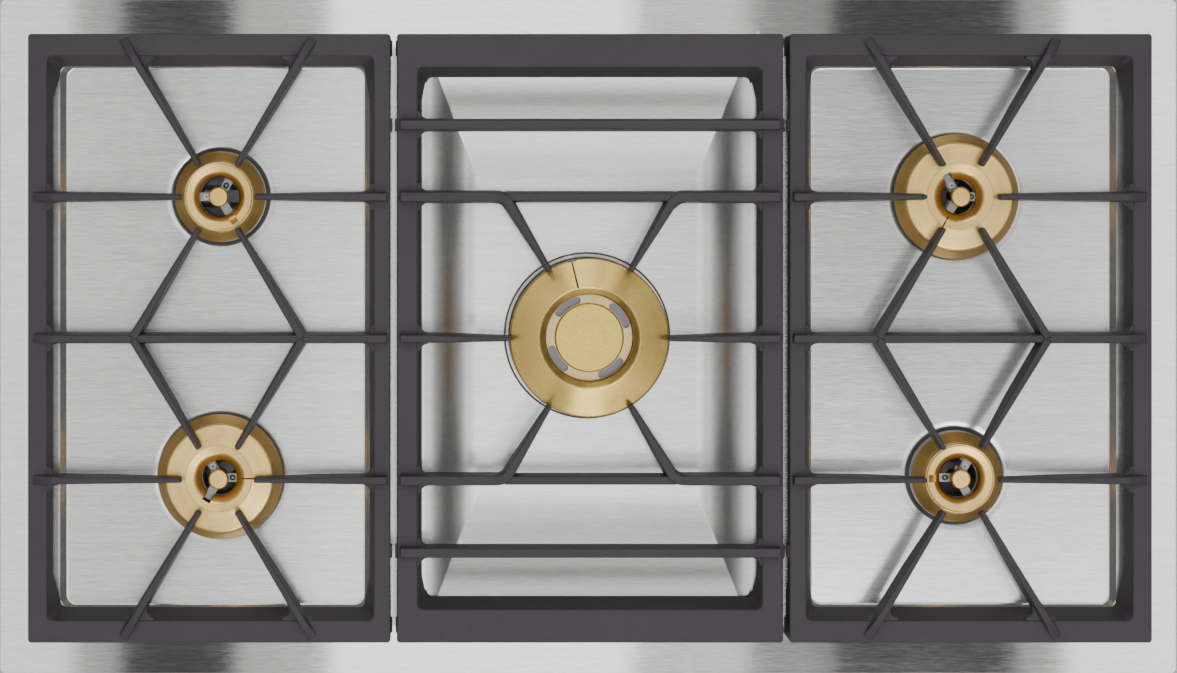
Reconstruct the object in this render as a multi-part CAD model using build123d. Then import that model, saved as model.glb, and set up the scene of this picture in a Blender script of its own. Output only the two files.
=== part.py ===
from build123d import *
import os
from math import atan2, cos, degrees, hypot, radians, sin, tan

# Built-in gas cooktop, 908 x 520 mm: a pressed plate with five brass burners, three cast
# pan supports, and the tray with gas rail, taps and ignition that hangs in the worktop.
# Millimetres. X to the right, Y to the back, Z up. The origin is the centre of the
# cut-out, level with the top of the worktop, where the foam seal rests.

# ---------------------------------------------------------------- driving dimensions

# Top plate
PLATE_X, PLATE_Y = 908.0, 520.0
PLATE_CORNER_R = 4.0
SHEET = 1.0                      # thickness of the pressed plate
RIM_TOP = 5.0                    # top of the rim above the worktop
FOLD_GAP = 0.6                   # folded edge above the worktop
SIDE_DEPTH = 6.0                 # side recesses below the rim
SIDE_OUTER_X = PLATE_X / 2 - 46.0      # upper edge of a side recess, away from the middle
SIDE_INNER_X = 168.0             # upper edge of a side recess, towards the middle
SIDE_HALF_Y = PLATE_Y / 2 - 48.0
SIDE_WALL_RUN = 4.0
SIDE_CORNER_R = 12.0
BASIN_DEPTH = 19.0               # centre basin below the rim
BASIN_HALF_X, BASIN_HALF_Y = 131.0, PLATE_Y / 2 - 24.0
BASIN_RUN_X, BASIN_RUN_Y = 45.0, 110.0  # how far the basin's walls come in
DIMPLE_DEPTH = 3.0               # conical dimple round each burner hole
DIMPLE_RUN = 4.0
HOLE_CLEARANCE = 0.6             # burner cup in its hole

# Tray, seal and clamps
TRAY_X, TRAY_Y = PLATE_X - 58.0, PLATE_Y - 44.0
TRAY_SHEET = 0.8
TRAY_BOTTOM = -68.0
TRAY_CORNER_R = 8.0
TAB_W, TAB_DROP = 16.0, 12.0     # tabs under the plate that take the tray screws
TAB_X = (-300.0, 300.0)          # places of the tabs along the front and back
TAB_Y = (-120.0, 120.0)          # places of the tabs along the sides
SEAL_W = 11.0
SCREW_R, SCREW_HEAD_R, SCREW_HEAD_H, SCREW_LENGTH = 2.0, 4.0, 2.2, 8.0
SCREW_CLEARANCE = 0.15
CLAMP_X = (-330.0, 330.0)
CLAMP_W, CLAMP_T = 22.0, 1.5
CLAMP_LEG = 26.0
CLAMP_REACH = 17.0
WORKTOP_T = 38.0                 # worktop that the clamps hold
LOUVRES, LOUVRE_PITCH, LOUVRE_LENGTH, LOUVRE_W = 4, 14.0, 50.0, 4.0

# Pan supports
SUPPORT_Y = PLATE_Y - 55.0
SUPPORT_END = 24.8               # from a side support to the plate's end
CENTRE_SUPPORT_X = 295.0
SUPPORT_GAP = 4.9
FRAME_TOP = 34.0                 # top of the frames above the worktop
PAN_PLANE = 43.0                 # top of the fingers above the worktop
FOOT_H = 1.5                     # rubber foot under the casting
FRAME_CORNER_R = 2.5
INNER_CORNER_R = 4.5
FRAME_DRAFT_RUN = 7.0            # inner walls lean in by this much at the bottom
OUTER_BAR, INNER_BAR, END_BAR = 14.5, 12.7, 16.8
CENTRE_BAR, CENTRE_END_BAR = 15.8, 25.3
RELIEF_START, RELIEF_END = 30.0, 50.0   # where a side bar rises from its foot
SIDE_BAR_DEPTH = 13.0
FINGER_W, FINGER_TIP_W = 5.9, 3.0       # widths of a finger's top
BAR_W = 7.0                      # width of the top of the bars across the middle support
FINGER_DRAFT = 4.5               # degrees
FINGER_DEPTH, FINGER_TIP_DEPTH = 19.0, 12.0
FINGER_STRAIGHT = 0.55           # share of a finger's length before its underside rises
ROOT_LAP = 3.0                   # a bar's root reaches this far into the frame
CAST_CORNER_R, BEND_R = 5.5, 8.0 # rounded corners where bars meet the frame, and inside a bend
CAST_CORNER_TOP = FRAME_TOP - 0.5
CORNER_OUT, CORNER_SETBACK = 1.3, 2.4 # corners stand off a bar's top and a frame's top edge, for the draft
CORNER_ROOT = 2.5                # rounded corners start this far back inside the walls
FRAME_LAP = 0.5                  # a ramp starts this far above the frame
RAMP_DROP_RUN = 15.0             # outer ends ramp down to the frame over this length
END_SETBACK = 2.5                # a bar's upright end from the frame's edge
RAMP_SETBACK = 3.8               # a ramped end from the frame's edge
TIE_DROP = 1.5                   # ties between the fingers lie lower than the pans
FINGER_ANGLE = 59.0              # diagonals, from the X axis
SIDE_TIP_R = 27.7                # finger tips from the axis of an outer burner
CENTRE_TIP_R = 60.0              # finger tips from the axis of the middle burner
CENTRE_BAR_Y = 163.0             # straight bars of the middle support
NUB_W, NUB_T, NUB_H = 10.0, 1.4, 9.0
FOOT_X, FOOT_Y = 11.0, 12.0
FOOT_INSET_Y = 10.0
FOOT_PROUD = 1.2                 # foot past the frame, where two supports face each other
FOOT_STEM_R, FOOT_STEM_H = 2.5, 5.0

# Burners: distances from the burner's own axis and heights above the rim
BURNER_X, BURNER_Y = PLATE_X / 2 - 170.0, 108.0
WALL = 2.2                       # walls of the brass and aluminium castings
LIFT_GAP = 0.3                   # between pieces that lift off each other
CAP_H = 4.5                      # cap's top above its seat
STUD_PROUD = 6.0                 # stud's top above the cap's top
WAIST = 5.0                      # cup's waist inside the ring's edge
CUP_BOTTOM = -22.0
HUB_DROP = 5.5                   # hub and its struts below the cap's seat
POST_R, STRUT_T, STRUT_W = 4.0, 2.4, 6.6
PORT_W, PORT_H = 1.6, 5.0
POCKET = 6.6                     # square pocket beside the bore
SLIT_W, SLIT_DEPTH, NOTCH_W, NOTCH_DEPTH = 0.6, 1.8, 5.0, 1.6
SEAT_W = 0.8                     # ring's seat outside the cap
CAP_CHAMFER, CAP_FALL = 2.2, 1.2 # bright chamfer at the cap's rim
LEAD_IN = 4.0                    # rounded edge of the cap's bore
NECK_H = 4.0                     # cap's neck in the ring's collar
STUD_HEAD_H, STUD_CHAMFER = 8.0, 0.8
CUP_FLANGE_T = 1.5               # cup's flange in the dimple, and its top lip
JET_OFFSET = 20.5                # jet from the burner's axis
JET_BOSS_R, JET_BOSS_H, JET_R, JET_HEX_R, JET_HOLE_R = 6.5, 6.0, 4.0, 7.5, 0.8
PIN_R, CERAMIC_R = 0.9, 2.5      # ignition electrode
PROBE_R, PROBE_TIP_R = 2.2, 1.4  # flame-failure probe
PROBE_AXIS_R = 10.0              # electrode and probe from the burner's axis
PROBE_BOTTOM = -34.0

# Gas line
TAP_Z = -50.0
TAP_PITCH = 90.0
TAP_R = 12.0
TAP_LENGTH = 30.0
TAP_GAP = 10.0                   # tap's front to the tray's front wall
PLUG_LENGTH, PLUG_R_FRONT, PLUG_R_BACK = 20.0, 7.0, 5.4
FIT = 0.05                       # radial running clearance of plugs and spindles
BONNET = 3.0                     # thickness of the tap's front
STEM_R, STEM_HOLE_R = 5.0, 2.0   # inlet stem of a tap, under the rail
NUT_R, NUT_LENGTH, NUT_NECK = 7.0, 8.0, 3.0
PIPE_IN = 5.0                    # pipe's end inside its nut
COLLAR_T = 1.8                   # collar that keeps the spindle in
COLLAR_PLAY = 0.4                # room left for the collar over its travel
PLUG_END_GAP = 0.5
TANG_T, TANG_W, TANG_IN = 2.0, 5.0, 2.0
SHAFT_R = 3.3                    # spindle inside the tap's bonnet
SPINDLE_R = 3.0                  # spindle outside the tray, for a knob
SPINDLE_OUT = 19.0               # spindle's free end in front of the tray
SPINDLE_STEP, SPINDLE_NECK_R = 1.0, 2.7   # relief groove where the shaft steps down to the spindle
SPINDLE_FLAT, FLAT_DEPTH = 7.0, 1.3   # flat at the spindle's end
SPINDLE_HOLE_GAP = 1.7           # spindle in the tray's wall
PUSH_TRAVEL = 3.0
RAIL_R, RAIL_WALL, RAIL_Z = 8.0, 1.5, -26.0
RAIL_X = 206.0                   # half length of the rail
PIPE_R, PIPE_WALL = 3.5, 0.8
PIPE_BEND_R = 14.0
INLET_THREAD_R = 10.48           # G 1/2 outside thread
INLET_LENGTH = 16.0              # threaded end, past the tray's wall
INLET_HEX_R, INLET_HEX_T = 14.0, 12.0
INLET_TURN = 12.0                # feed pipe to the right of the rail's end
BRACKET_X = (-135.0, 135.0)
BRACKET_W, BRACKET_T, BRACKET_FOOT = 22.0, 2.0, 16.0
MODULE_SIZE = (64.0, 38.0, 24.0)
MODULE_AT = (TRAY_X / 2 - 75.0, 53.0 - TRAY_Y / 2)
SOCKET_R, SOCKET_LENGTH, SOCKET_PITCH = 2.5, 6.0, 11.0

class Burner:
    """Sizes of one burner: radii from its axis, heights from the rim's top."""

    def __init__(self, name, x, y, kind, struts, electrode_at, pocket_at, slit_at, tap):
        self.name, self.x, self.y = name, x, y
        self.dimple_r, self.ring_r, self.cap_r, self.bore_r = kind[:4]
        self.edge_z, self.cap_top, self.stud_r, self.ports = kind[4:]
        self.struts, self.electrode_at = struts, electrode_at
        self.pocket_at, self.slit_at, self.tap = pocket_at, slit_at, tap
        self.floor = -SIDE_DEPTH
        self.seat_z = self.cap_top - CAP_H
        self.stud_top = self.cap_top + STUD_PROUD
        self.hub_z = self.seat_z - HUB_DROP
        self.waist_r = self.ring_r - WAIST
        self.jet_x = -JET_OFFSET if x > 0 else JET_OFFSET

    def place(self, shape):
        return Pos(self.x, self.y, RIM_TOP) * shape


#        dimple  ring   cap    bore  edge  top  stud ports
SMALL = (40.3, 34.9, 27.4, 15.3, 3.5, 20.0, 7.4, 18)
MEDIUM = (50.4, 48.15, 42.05, 13.6, 2.0, 20.0, 7.5, 20)

BURNERS = [
    Burner("back_left", -BURNER_X, BURNER_Y, SMALL, (60, 180, 300), 180, 302, None, 1),
    Burner("front_left", -BURNER_X, -BURNER_Y, MEDIUM, (0, 120, 240), 120, 240, 0, 0),
    Burner("back_right", BURNER_X, BURNER_Y, MEDIUM, (0, 120, 240), 120, 120, 240, 3),
    Burner("front_right", BURNER_X, -BURNER_Y, SMALL, (60, 180, 300), 60, 180, None, 4),
]

# Wok burner in the middle: radii and heights above the rim
WOK_DIMPLE_R = 65.0
WOK_CAP_R, WOK_CREST_R, WOK_BORE_R = 61.0, 38.9, 33.8
WOK_EDGE_Z, WOK_CREST_Z = 20.0, 26.0
WOK_CAP_EDGE = 3.0               # height of the cap's outer edge
WOK_BODY_R = 53.0                # ring with the outer ports
WOK_SHOULDER_Z = 4.0
WOK_PORTS, WOK_PORT_H = 40, 6.0
WOK_FLOOR_Z = 16.0               # pale annular floor inside the crest
WOK_DISC_R, WOK_DISC_T = 26.5, 2.4
WOK_SLOT_R, WOK_SLOT_W, WOK_SLOT_ARC = 30.0, 4.6, 44.0
WOK_SLOTS_AT = (36.0, 124.5, 214.0, 305.0)
WOK_CUP_BOTTOM = -36.0
WOK_JET_Y = -42.0
WOK_NOTCH_AT = 103.0
WOK_ELECTRODE_AT = 103.0
WOK_PROBE_AT = 20.0
WOK_PROBE_AXIS_R = 56.5          # electrode and probe from the axis
WOK_THROAT_R = 20.0
WOK_COLLAR_GAP = 2.6             # collar of the inner chamber outside the cap's bore


# ---------------------------------------------------------------- derived sizes

PLATE_UNDER = RIM_TOP - SHEET
SUPPORT_BASE = RIM_TOP + FOOT_H
HALF_SUPPORT_Y = SUPPORT_Y / 2
CENTRE_EDGE_X = CENTRE_SUPPORT_X / 2
SIDE_LOW_X = CENTRE_EDGE_X + SUPPORT_GAP
SIDE_HIGH_X = PLATE_X / 2 - SUPPORT_END
TRAY_FLOOR = TRAY_BOTTOM + TRAY_SHEET
TRAY_FRONT = -TRAY_Y / 2
SCREW_Z = PLATE_UNDER - TAB_DROP / 2
CLAMP_SCREW_Z = -WORKTOP_T - CLAMP_LEG / 2
WOK_COLLAR_R = WOK_BORE_R + WOK_COLLAR_GAP
TAP_FRONT = TRAY_FRONT + TRAY_SHEET + TAP_GAP
TAP_BACK = TAP_FRONT + TAP_LENGTH
RAIL_Y = TAP_FRONT + TAP_LENGTH / 2
PLUG_START = BONNET + PUSH_TRAVEL + COLLAR_T + COLLAR_PLAY
INLET_X = RAIL_X + INLET_TURN
JET_FLAT = JET_HEX_R * cos(radians(30))


# ---------------------------------------------------------------- helpers

def revolved(points):
    """Solid of revolution about Z through (radius, height) points."""
    return revolve(Plane.XZ * make_face(Polyline(*points, close=True)), Axis.Z)


def tube(radius, wall, length):
    return Cylinder(radius, length) - Cylinder(radius - wall, 2 * length)


def polar(radius, angle):
    return radius * cos(radians(angle)), radius * sin(radians(angle))


def along_y(shape, x, y, z):
    """Turns a shape built along Z so that its top points to the front."""
    return Pos(x, y, z) * Rot(90, 0, 0) * shape


def s_curve(half_top, run, depth, shift):
    """Area above a pressed trough: two tangent arcs on each side, flat floor between."""
    half_floor = half_top - run
    radius = (run**2 + depth**2) / (4 * depth)
    top = -shift
    left = [
        RadiusArc((-half_top, top), (-half_top + run / 2, top - depth / 2), radius),
        RadiusArc((-half_top + run / 2, top - depth / 2), (-half_floor, top - depth), -radius),
    ]
    right = [edge.mirror(Plane.YZ) for edge in left]
    floor = Line((-half_floor, top - depth), (half_floor, top - depth))
    lid = SHEET / 2 if shift == 0 else -shift / 2
    roof = Polyline((-half_top, top), (-half_top, lid), (half_top, lid), (half_top, top))
    return make_face(left + right + [floor, roof])


def trough(shift):
    """Basin with mitred walls: one trough along X crossed with one along Y."""
    across = Plane.XZ * s_curve(BASIN_HALF_X, BASIN_RUN_X, BASIN_DEPTH, shift)
    along = Plane.YZ * s_curve(BASIN_HALF_Y, BASIN_RUN_Y, BASIN_DEPTH, shift)
    return extrude(across, BASIN_HALF_Y + 1, both=True) & extrude(along, BASIN_HALF_X + 1, both=True)


def tub(width, height, corner_r, depth, run, grow):
    """Tapered recess: rounded rectangle at the top, drawn in by run at the bottom."""
    top = RectangleRounded(width + 2 * grow, height + 2 * grow, corner_r + grow)
    low = RectangleRounded(width + 2 * (grow - run), height + 2 * (grow - run), corner_r + grow - run)
    return loft([top, Pos(0, 0, -depth) * low], ruled=True)


# ---------------------------------------------------------------- plate, tray and seal

def burner_holes():
    """Axis, floor height, dimple radius and hole radius of each burner."""
    holes = [(b.x, b.y, b.floor, b.dimple_r, b.waist_r + HOLE_CLEARANCE) for b in BURNERS]
    return holes + [(0, 0, -BASIN_DEPTH, WOK_DIMPLE_R, WOK_BODY_R + HOLE_CLEARANCE)]


def make_top_plate():
    rim = extrude(RectangleRounded(PLATE_X, PLATE_Y, PLATE_CORNER_R), -SHEET)
    fold_depth = RIM_TOP - FOLD_GAP
    fold = extrude(RectangleRounded(PLATE_X, PLATE_Y, PLATE_CORNER_R), -fold_depth)
    fold -= extrude(
        RectangleRounded(PLATE_X - 2 * SHEET, PLATE_Y - 2 * SHEET, PLATE_CORNER_R - SHEET), -fold_depth)
    side_x = (SIDE_OUTER_X + SIDE_INNER_X) / 2
    side = (SIDE_OUTER_X - SIDE_INNER_X, 2 * SIDE_HALF_Y, SIDE_CORNER_R)
    plate = rim + fold + trough(SHEET)
    for sign in (-1, 1):
        plate += Pos(sign * side_x, 0, -SHEET) * tub(*side, SIDE_DEPTH, SIDE_WALL_RUN, SHEET / 2)
    for x, y, floor, dimple_r, hole_r in burner_holes():
        plate += Pos(x, y, floor - SHEET) * revolved(
            [(0, 0.5), (dimple_r, 0.5), (dimple_r, 0), (dimple_r - DIMPLE_RUN, -DIMPLE_DEPTH),
             (0, -DIMPLE_DEPTH)])
    plate -= trough(0)
    for sign in (-1, 1):
        plate -= Pos(sign * side_x, 0, 0) * tub(*side, SIDE_DEPTH, SIDE_WALL_RUN, 0)
    for x, y, floor, dimple_r, hole_r in burner_holes():
        plate -= Pos(x, y, floor) * revolved(
            [(0, 1), (dimple_r, 1), (dimple_r, 0), (dimple_r - DIMPLE_RUN, -DIMPLE_DEPTH),
             (0, -DIMPLE_DEPTH)])
        plate -= Pos(x, y, floor) * Cylinder(hole_r, 4 * DIMPLE_DEPTH)
    for x, y, probe_r in wok_probes():
        plate -= Pos(x, y, -BASIN_DEPTH) * Cylinder(probe_r + HOLE_CLEARANCE, 4 * DIMPLE_DEPTH)
    plate = Pos(0, 0, RIM_TOP) * plate
    for tab, hole in tray_tabs():
        plate += tab
        plate -= hole
    return plate


def screw_places():
    """Place and turn about Z of each tray screw, head outwards."""
    half_x, half_y = TRAY_X / 2, TRAY_Y / 2
    places = [(x, sign * half_y, 90 * sign) for x in TAB_X for sign in (-1, 1)]
    return places + [(sign * half_x, y, 0 if sign > 0 else 180) for y in TAB_Y for sign in (-1, 1)]


def tray_tabs():
    """Tabs that hang from the plate just inside the tray's wall, with their screw holes."""
    for x, y, turn in screw_places():
        at = Pos(x, y, 0) * Rot(0, 0, turn)
        tab = at * Pos(-TRAY_SHEET - SHEET / 2, 0, SCREW_Z) * Box(SHEET, TAB_W, TAB_DROP)
        drill = Cylinder(SCREW_R + SCREW_CLEARANCE, 4 * TRAY_SHEET + SHEET)
        yield tab, at * Pos(0, 0, SCREW_Z) * Rot(0, 90, 0) * drill


def make_screw():
    """Pan-head screw with its head's underside at the origin, pointing along -X."""
    head = Pos(SCREW_HEAD_H / 2, 0, 0) * Rot(0, 90, 0) * Cylinder(SCREW_HEAD_R, SCREW_HEAD_H)
    head = fillet(head.edges().group_by(Axis.X)[-1], SCREW_HEAD_H * 0.4)
    shank = Pos(-SCREW_LENGTH / 2, 0, 0) * Rot(0, 90, 0) * Cylinder(SCREW_R, SCREW_LENGTH)
    return head + shank


def make_tray_screws():
    return Compound(children=[
        Pos(x, y, SCREW_Z) * Rot(0, 0, turn) * make_screw() for x, y, turn in screw_places()])


def make_base_tray():
    height = PLATE_UNDER - TRAY_BOTTOM
    shell = extrude(RectangleRounded(TRAY_X, TRAY_Y, TRAY_CORNER_R), height)
    inner = RectangleRounded(TRAY_X - 2 * TRAY_SHEET, TRAY_Y - 2 * TRAY_SHEET, TRAY_CORNER_R - TRAY_SHEET)
    shell -= Pos(0, 0, TRAY_SHEET) * extrude(inner, height)
    shell = Pos(0, 0, TRAY_BOTTOM) * shell
    for tab, hole in tray_tabs():
        shell -= hole
    for x in tap_places():
        shell -= along_y(Cylinder(SHAFT_R + SPINDLE_HOLE_GAP, 10), x, TRAY_FRONT, TAP_Z)
    shell -= along_y(Cylinder(INLET_THREAD_R + HOLE_CLEARANCE, 10), INLET_X, TRAY_Y / 2, RAIL_Z)
    for x, y, turn in clamp_places():
        shell -= Pos(x, y, CLAMP_SCREW_Z) * Rot(0, 0, turn) * Rot(0, 90, 0) * Cylinder(
            SCREW_R + SCREW_CLEARANCE, 10)
    # pressed feed-air louvres in the floor, in rows under the burners
    for burner_x, burner_y in [(b.x, b.y) for b in BURNERS] + [(0, 0)]:
        for row in range(LOUVRES):
            offset = (row - (LOUVRES - 1) / 2) * LOUVRE_PITCH
            shell -= Pos(burner_x, burner_y + offset, TRAY_BOTTOM) * Box(LOUVRE_LENGTH, LOUVRE_W, 5)
    return shell


def make_rim_seal():
    inside = (PLATE_X - 2 * SHEET, PLATE_Y - 2 * SHEET)
    strip = extrude(RectangleRounded(*inside, PLATE_CORNER_R - SHEET), PLATE_UNDER)
    return strip - extrude(Rectangle(inside[0] - 2 * SEAL_W, inside[1] - 2 * SEAL_W), PLATE_UNDER)


def clamp_places():
    return [(x, sign * TRAY_Y / 2, 90 * sign) for x in CLAMP_X for sign in (-1, 1)]


def make_worktop_clamps():
    """Angle clamps on the tray's front and back, with their arms under the worktop."""
    leg = Pos(CLAMP_T / 2, 0, -WORKTOP_T - CLAMP_LEG / 2) * Box(CLAMP_T, CLAMP_W, CLAMP_LEG)
    arm = Pos(CLAMP_REACH / 2, 0, -WORKTOP_T - CLAMP_T / 2) * Box(CLAMP_REACH, CLAMP_W, CLAMP_T)
    clamp = leg + arm
    clamp -= Pos(0, 0, CLAMP_SCREW_Z) * Rot(0, 90, 0) * Cylinder(SCREW_R + SCREW_CLEARANCE, 10)
    return Compound(children=[Pos(x, y, 0) * Rot(0, 0, turn) * clamp for x, y, turn in clamp_places()])


def make_clamp_screws():
    return Compound(children=[
        Pos(x, y, CLAMP_SCREW_Z) * Rot(0, 0, turn) * Pos(CLAMP_T, 0, 0) * make_screw()
        for x, y, turn in clamp_places()])


# ---------------------------------------------------------------- pan supports

def bar(start, end, start_w, end_w, profile, round_end=True):
    """Drafted cast bar from start to end; profile gives its side view as (distance, z)."""
    dx, dy = end[0] - start[0], end[1] - start[1]
    length = hypot(dx, dy)
    plan = make_face(Polyline((0, -start_w / 2), (length - end_w / 2, -end_w / 2),
                              (length - end_w / 2, end_w / 2), (0, start_w / 2), close=True))
    if round_end:
        plan += Pos(length - end_w / 2, 0) * Circle(end_w / 2)
    else:
        plan += Pos(length - end_w / 4, 0) * Rectangle(end_w / 2, end_w)
    body = extrude(Plane((0, 0, PAN_PLANE), x_dir=(1, 0, 0), z_dir=(0, 0, -1)) * plan,
                   PAN_PLANE - SUPPORT_BASE, taper=-FINGER_DRAFT)
    side = extrude(Plane.XZ * make_face(Polyline(*profile(length), close=True)), PAN_PLANE, both=True)
    return Pos(start[0], start[1], 0) * Rot(0, 0, degrees(atan2(dy, dx))) * (body & side)


def cast_corner(corner, first, second, radius, top=CAST_CORNER_TOP):
    """Rounded corner between walls that leave a corner at two angles, reaching back into both."""
    half = radians(abs((second - first + 180) % 360 - 180)) / 2
    reach = radius / tan(half)
    middle = first + ((second - first + 180) % 360 - 180) / 2

    def beyond(point, distance, angle):
        return tuple(p + d for p, d in zip(point, polar(distance, angle)))

    ends = [beyond(corner, reach, angle) for angle in (first, second)]
    back = beyond(beyond(corner, -CORNER_ROOT, first), -CORNER_ROOT, second)
    sides = beyond(ends[1], -CORNER_ROOT, first), beyond(ends[0], -CORNER_ROOT, second)
    outline = [
        ThreePointArc(ends[0], beyond(corner, radius / sin(half) - radius, middle), ends[1]),
        Polyline(ends[1], sides[0], back, sides[1], ends[0])]
    bottom = PAN_PLANE - FINGER_DEPTH
    return Pos(0, 0, bottom) * extrude(make_face(outline), top - bottom)


def end_corners(start, angle, wall_at, wall_angle, width):
    """Pair of rounded corners where a bar that leaves start at an angle meets the frame's inner wall."""
    corners = []
    for side in (-1, 1):
        offset = side * (width / 2 + CORNER_OUT)
        x, y = start[0] - offset * sin(radians(angle)), start[1] + offset * cos(radians(angle))
        if wall_angle == 90:
            corner = (wall_at, y + (wall_at - x) * tan(radians(angle)))
        else:
            corner = (x + (wall_at - y) / tan(radians(angle)), wall_at)
        along_wall = wall_angle if (side > 0) == (((angle - wall_angle) % 360) > 180) else wall_angle + 180
        corners.append(cast_corner(corner, angle, along_wall, CAST_CORNER_R))
    return corners


def inner_corner(point, first, second, width):
    """Where the inner sides of two bars that leave a point at two angles meet."""
    turn = (second - first + 180) % 360 - 180
    x, y = polar((width / 2 + CORNER_OUT) / sin(radians(abs(turn)) / 2), first + turn / 2)
    return point[0] + x, point[1] + y


def finger_profile(ramp=0.0, drop=0.0, tip=True):
    """Side view of a bar: ramp at its start, underside rising towards a free tip."""
    def profile(length):
        top, bottom, foot = PAN_PLANE - drop, PAN_PLANE - FINGER_DEPTH, FRAME_TOP + FRAME_LAP
        tip_depth = FINGER_TIP_DEPTH if tip else FINGER_DEPTH
        past = length + ROOT_LAP
        points = [(ramp, top), (past, top), (past, PAN_PLANE - tip_depth),
                  (length * FINGER_STRAIGHT, bottom), (-ROOT_LAP, bottom), (-ROOT_LAP, foot)]
        return points + [(0, foot) if ramp else (-ROOT_LAP, top)]
    return profile


def support_frame(low_x, high_x, low_bar, high_bar, end_bar):
    """Frame of a pan support: upright outside, leaning inside, side bars raised between feet."""
    height = FRAME_TOP - SUPPORT_BASE
    mid_x, width = (low_x + high_x) / 2, high_x - low_x
    outline = RectangleRounded(width, SUPPORT_Y, FRAME_CORNER_R)
    frame = Pos(mid_x, 0, SUPPORT_BASE) * extrude(outline, height)
    inner_x = (low_x + low_bar + high_x - high_bar) / 2
    inner_w, inner_y = width - low_bar - high_bar, SUPPORT_Y - 2 * end_bar
    top = Pos(inner_x, 0, FRAME_TOP) * RectangleRounded(inner_w, inner_y, INNER_CORNER_R)
    low = Pos(inner_x, 0, SUPPORT_BASE) * RectangleRounded(
        inner_w - 2 * FRAME_DRAFT_RUN, inner_y - 2 * FRAME_DRAFT_RUN, INNER_CORNER_R)
    frame -= loft([top, low], ruled=True)
    foot, shallow = HALF_SUPPORT_Y - RELIEF_START, HALF_SUPPORT_Y - RELIEF_END
    rise = FRAME_TOP - SIDE_BAR_DEPTH
    relief = make_face(Polyline(
        (-foot, SUPPORT_BASE - 1), (-foot, SUPPORT_BASE), (-shallow, rise), (shallow, rise),
        (foot, SUPPORT_BASE), (foot, SUPPORT_BASE - 1), close=True))
    return frame - Pos(mid_x, 0, 0) * extrude(Plane.YZ * relief, width, both=True)


def side_support():
    """Right-hand pan support; the left one is its mirror image."""
    frame = support_frame(SIDE_LOW_X, SIDE_HIGH_X, INNER_BAR, OUTER_BAR, END_BAR)
    inner_end = SIDE_LOW_X + END_SETBACK
    outer_end = SIDE_HIGH_X - RAMP_SETBACK
    ends_y = HALF_SUPPORT_Y - RAMP_SETBACK
    inner_wall = SIDE_LOW_X + INNER_BAR + CORNER_SETBACK
    outer_wall = SIDE_HIGH_X - OUTER_BAR - CORNER_SETBACK
    end_wall = HALF_SUPPORT_Y - END_BAR - CORNER_SETBACK
    bars = []
    for sign in (-1, 1):
        axis_y = sign * BURNER_Y
        bars.append(bar((outer_end, axis_y), (BURNER_X + SIDE_TIP_R, axis_y), FINGER_W, FINGER_TIP_W,
                        finger_profile(RAMP_DROP_RUN)))
        bars.append(bar((inner_end, axis_y), (BURNER_X - SIDE_TIP_R, axis_y), FINGER_W, FINGER_TIP_W,
                        finger_profile()))
        for side in (-1, 1):
            tip_x, tip_y = polar(SIDE_TIP_R, FINGER_ANGLE)
            tip = (BURNER_X + side * tip_x, axis_y + sign * tip_y)
            reach = (ends_y - abs(tip[1])) / tan(radians(FINGER_ANGLE))
            root = (tip[0] + side * reach, sign * ends_y)
            bars.append(bar(root, tip, FINGER_W, FINGER_TIP_W, finger_profile(RAMP_DROP_RUN)))
            low_tip = (tip[0], axis_y - sign * tip_y)
            reach = abs(low_tip[1]) / tan(radians(FINGER_ANGLE))
            joint = (low_tip[0] + side * reach, 0)
            bars.append(bar(joint, low_tip, FINGER_W, FINGER_TIP_W, finger_profile()))
            bars += end_corners(root, -sign * (90 + side * (90 - FINGER_ANGLE)), sign * end_wall, 0, FINGER_W)
        bars += end_corners((outer_end, axis_y), 180, outer_wall, 90, FINGER_W)
        bars += end_corners((inner_end, axis_y), 0, inner_wall, 90, FINGER_W)
    bars += end_corners((outer_end, 0), 180, outer_wall, 90, FINGER_W)
    bars += end_corners((inner_end, 0), 0, inner_wall, 90, FINGER_W)
    bars.append(bar((outer_end, 0), (joint_x(1), 0), FINGER_W, FINGER_W,
                    finger_profile(RAMP_DROP_RUN, tip=False)))
    bars.append(bar((inner_end, 0), (joint_x(-1), 0), FINGER_W, FINGER_W, finger_profile(tip=False)))
    bars.append(bar((joint_x(-1), 0), (joint_x(1), 0), FINGER_W, FINGER_W,
                    finger_profile(drop=TIE_DROP, tip=False), round_end=False))
    support = frame.fuse(*bars)
    for sign in (-1, 1):
        support += nub(SIDE_LOW_X, sign * CENTRE_BAR_Y, -1)
    return with_foot_holes(support, SIDE_LOW_X, SIDE_HIGH_X)


def joint_x(side):
    """Where the inner diagonals of a side support meet its middle bar."""
    tip_x, tip_y = polar(SIDE_TIP_R, FINGER_ANGLE)
    return BURNER_X + side * (tip_x + (BURNER_Y - tip_y) / tan(radians(FINGER_ANGLE)))


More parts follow.
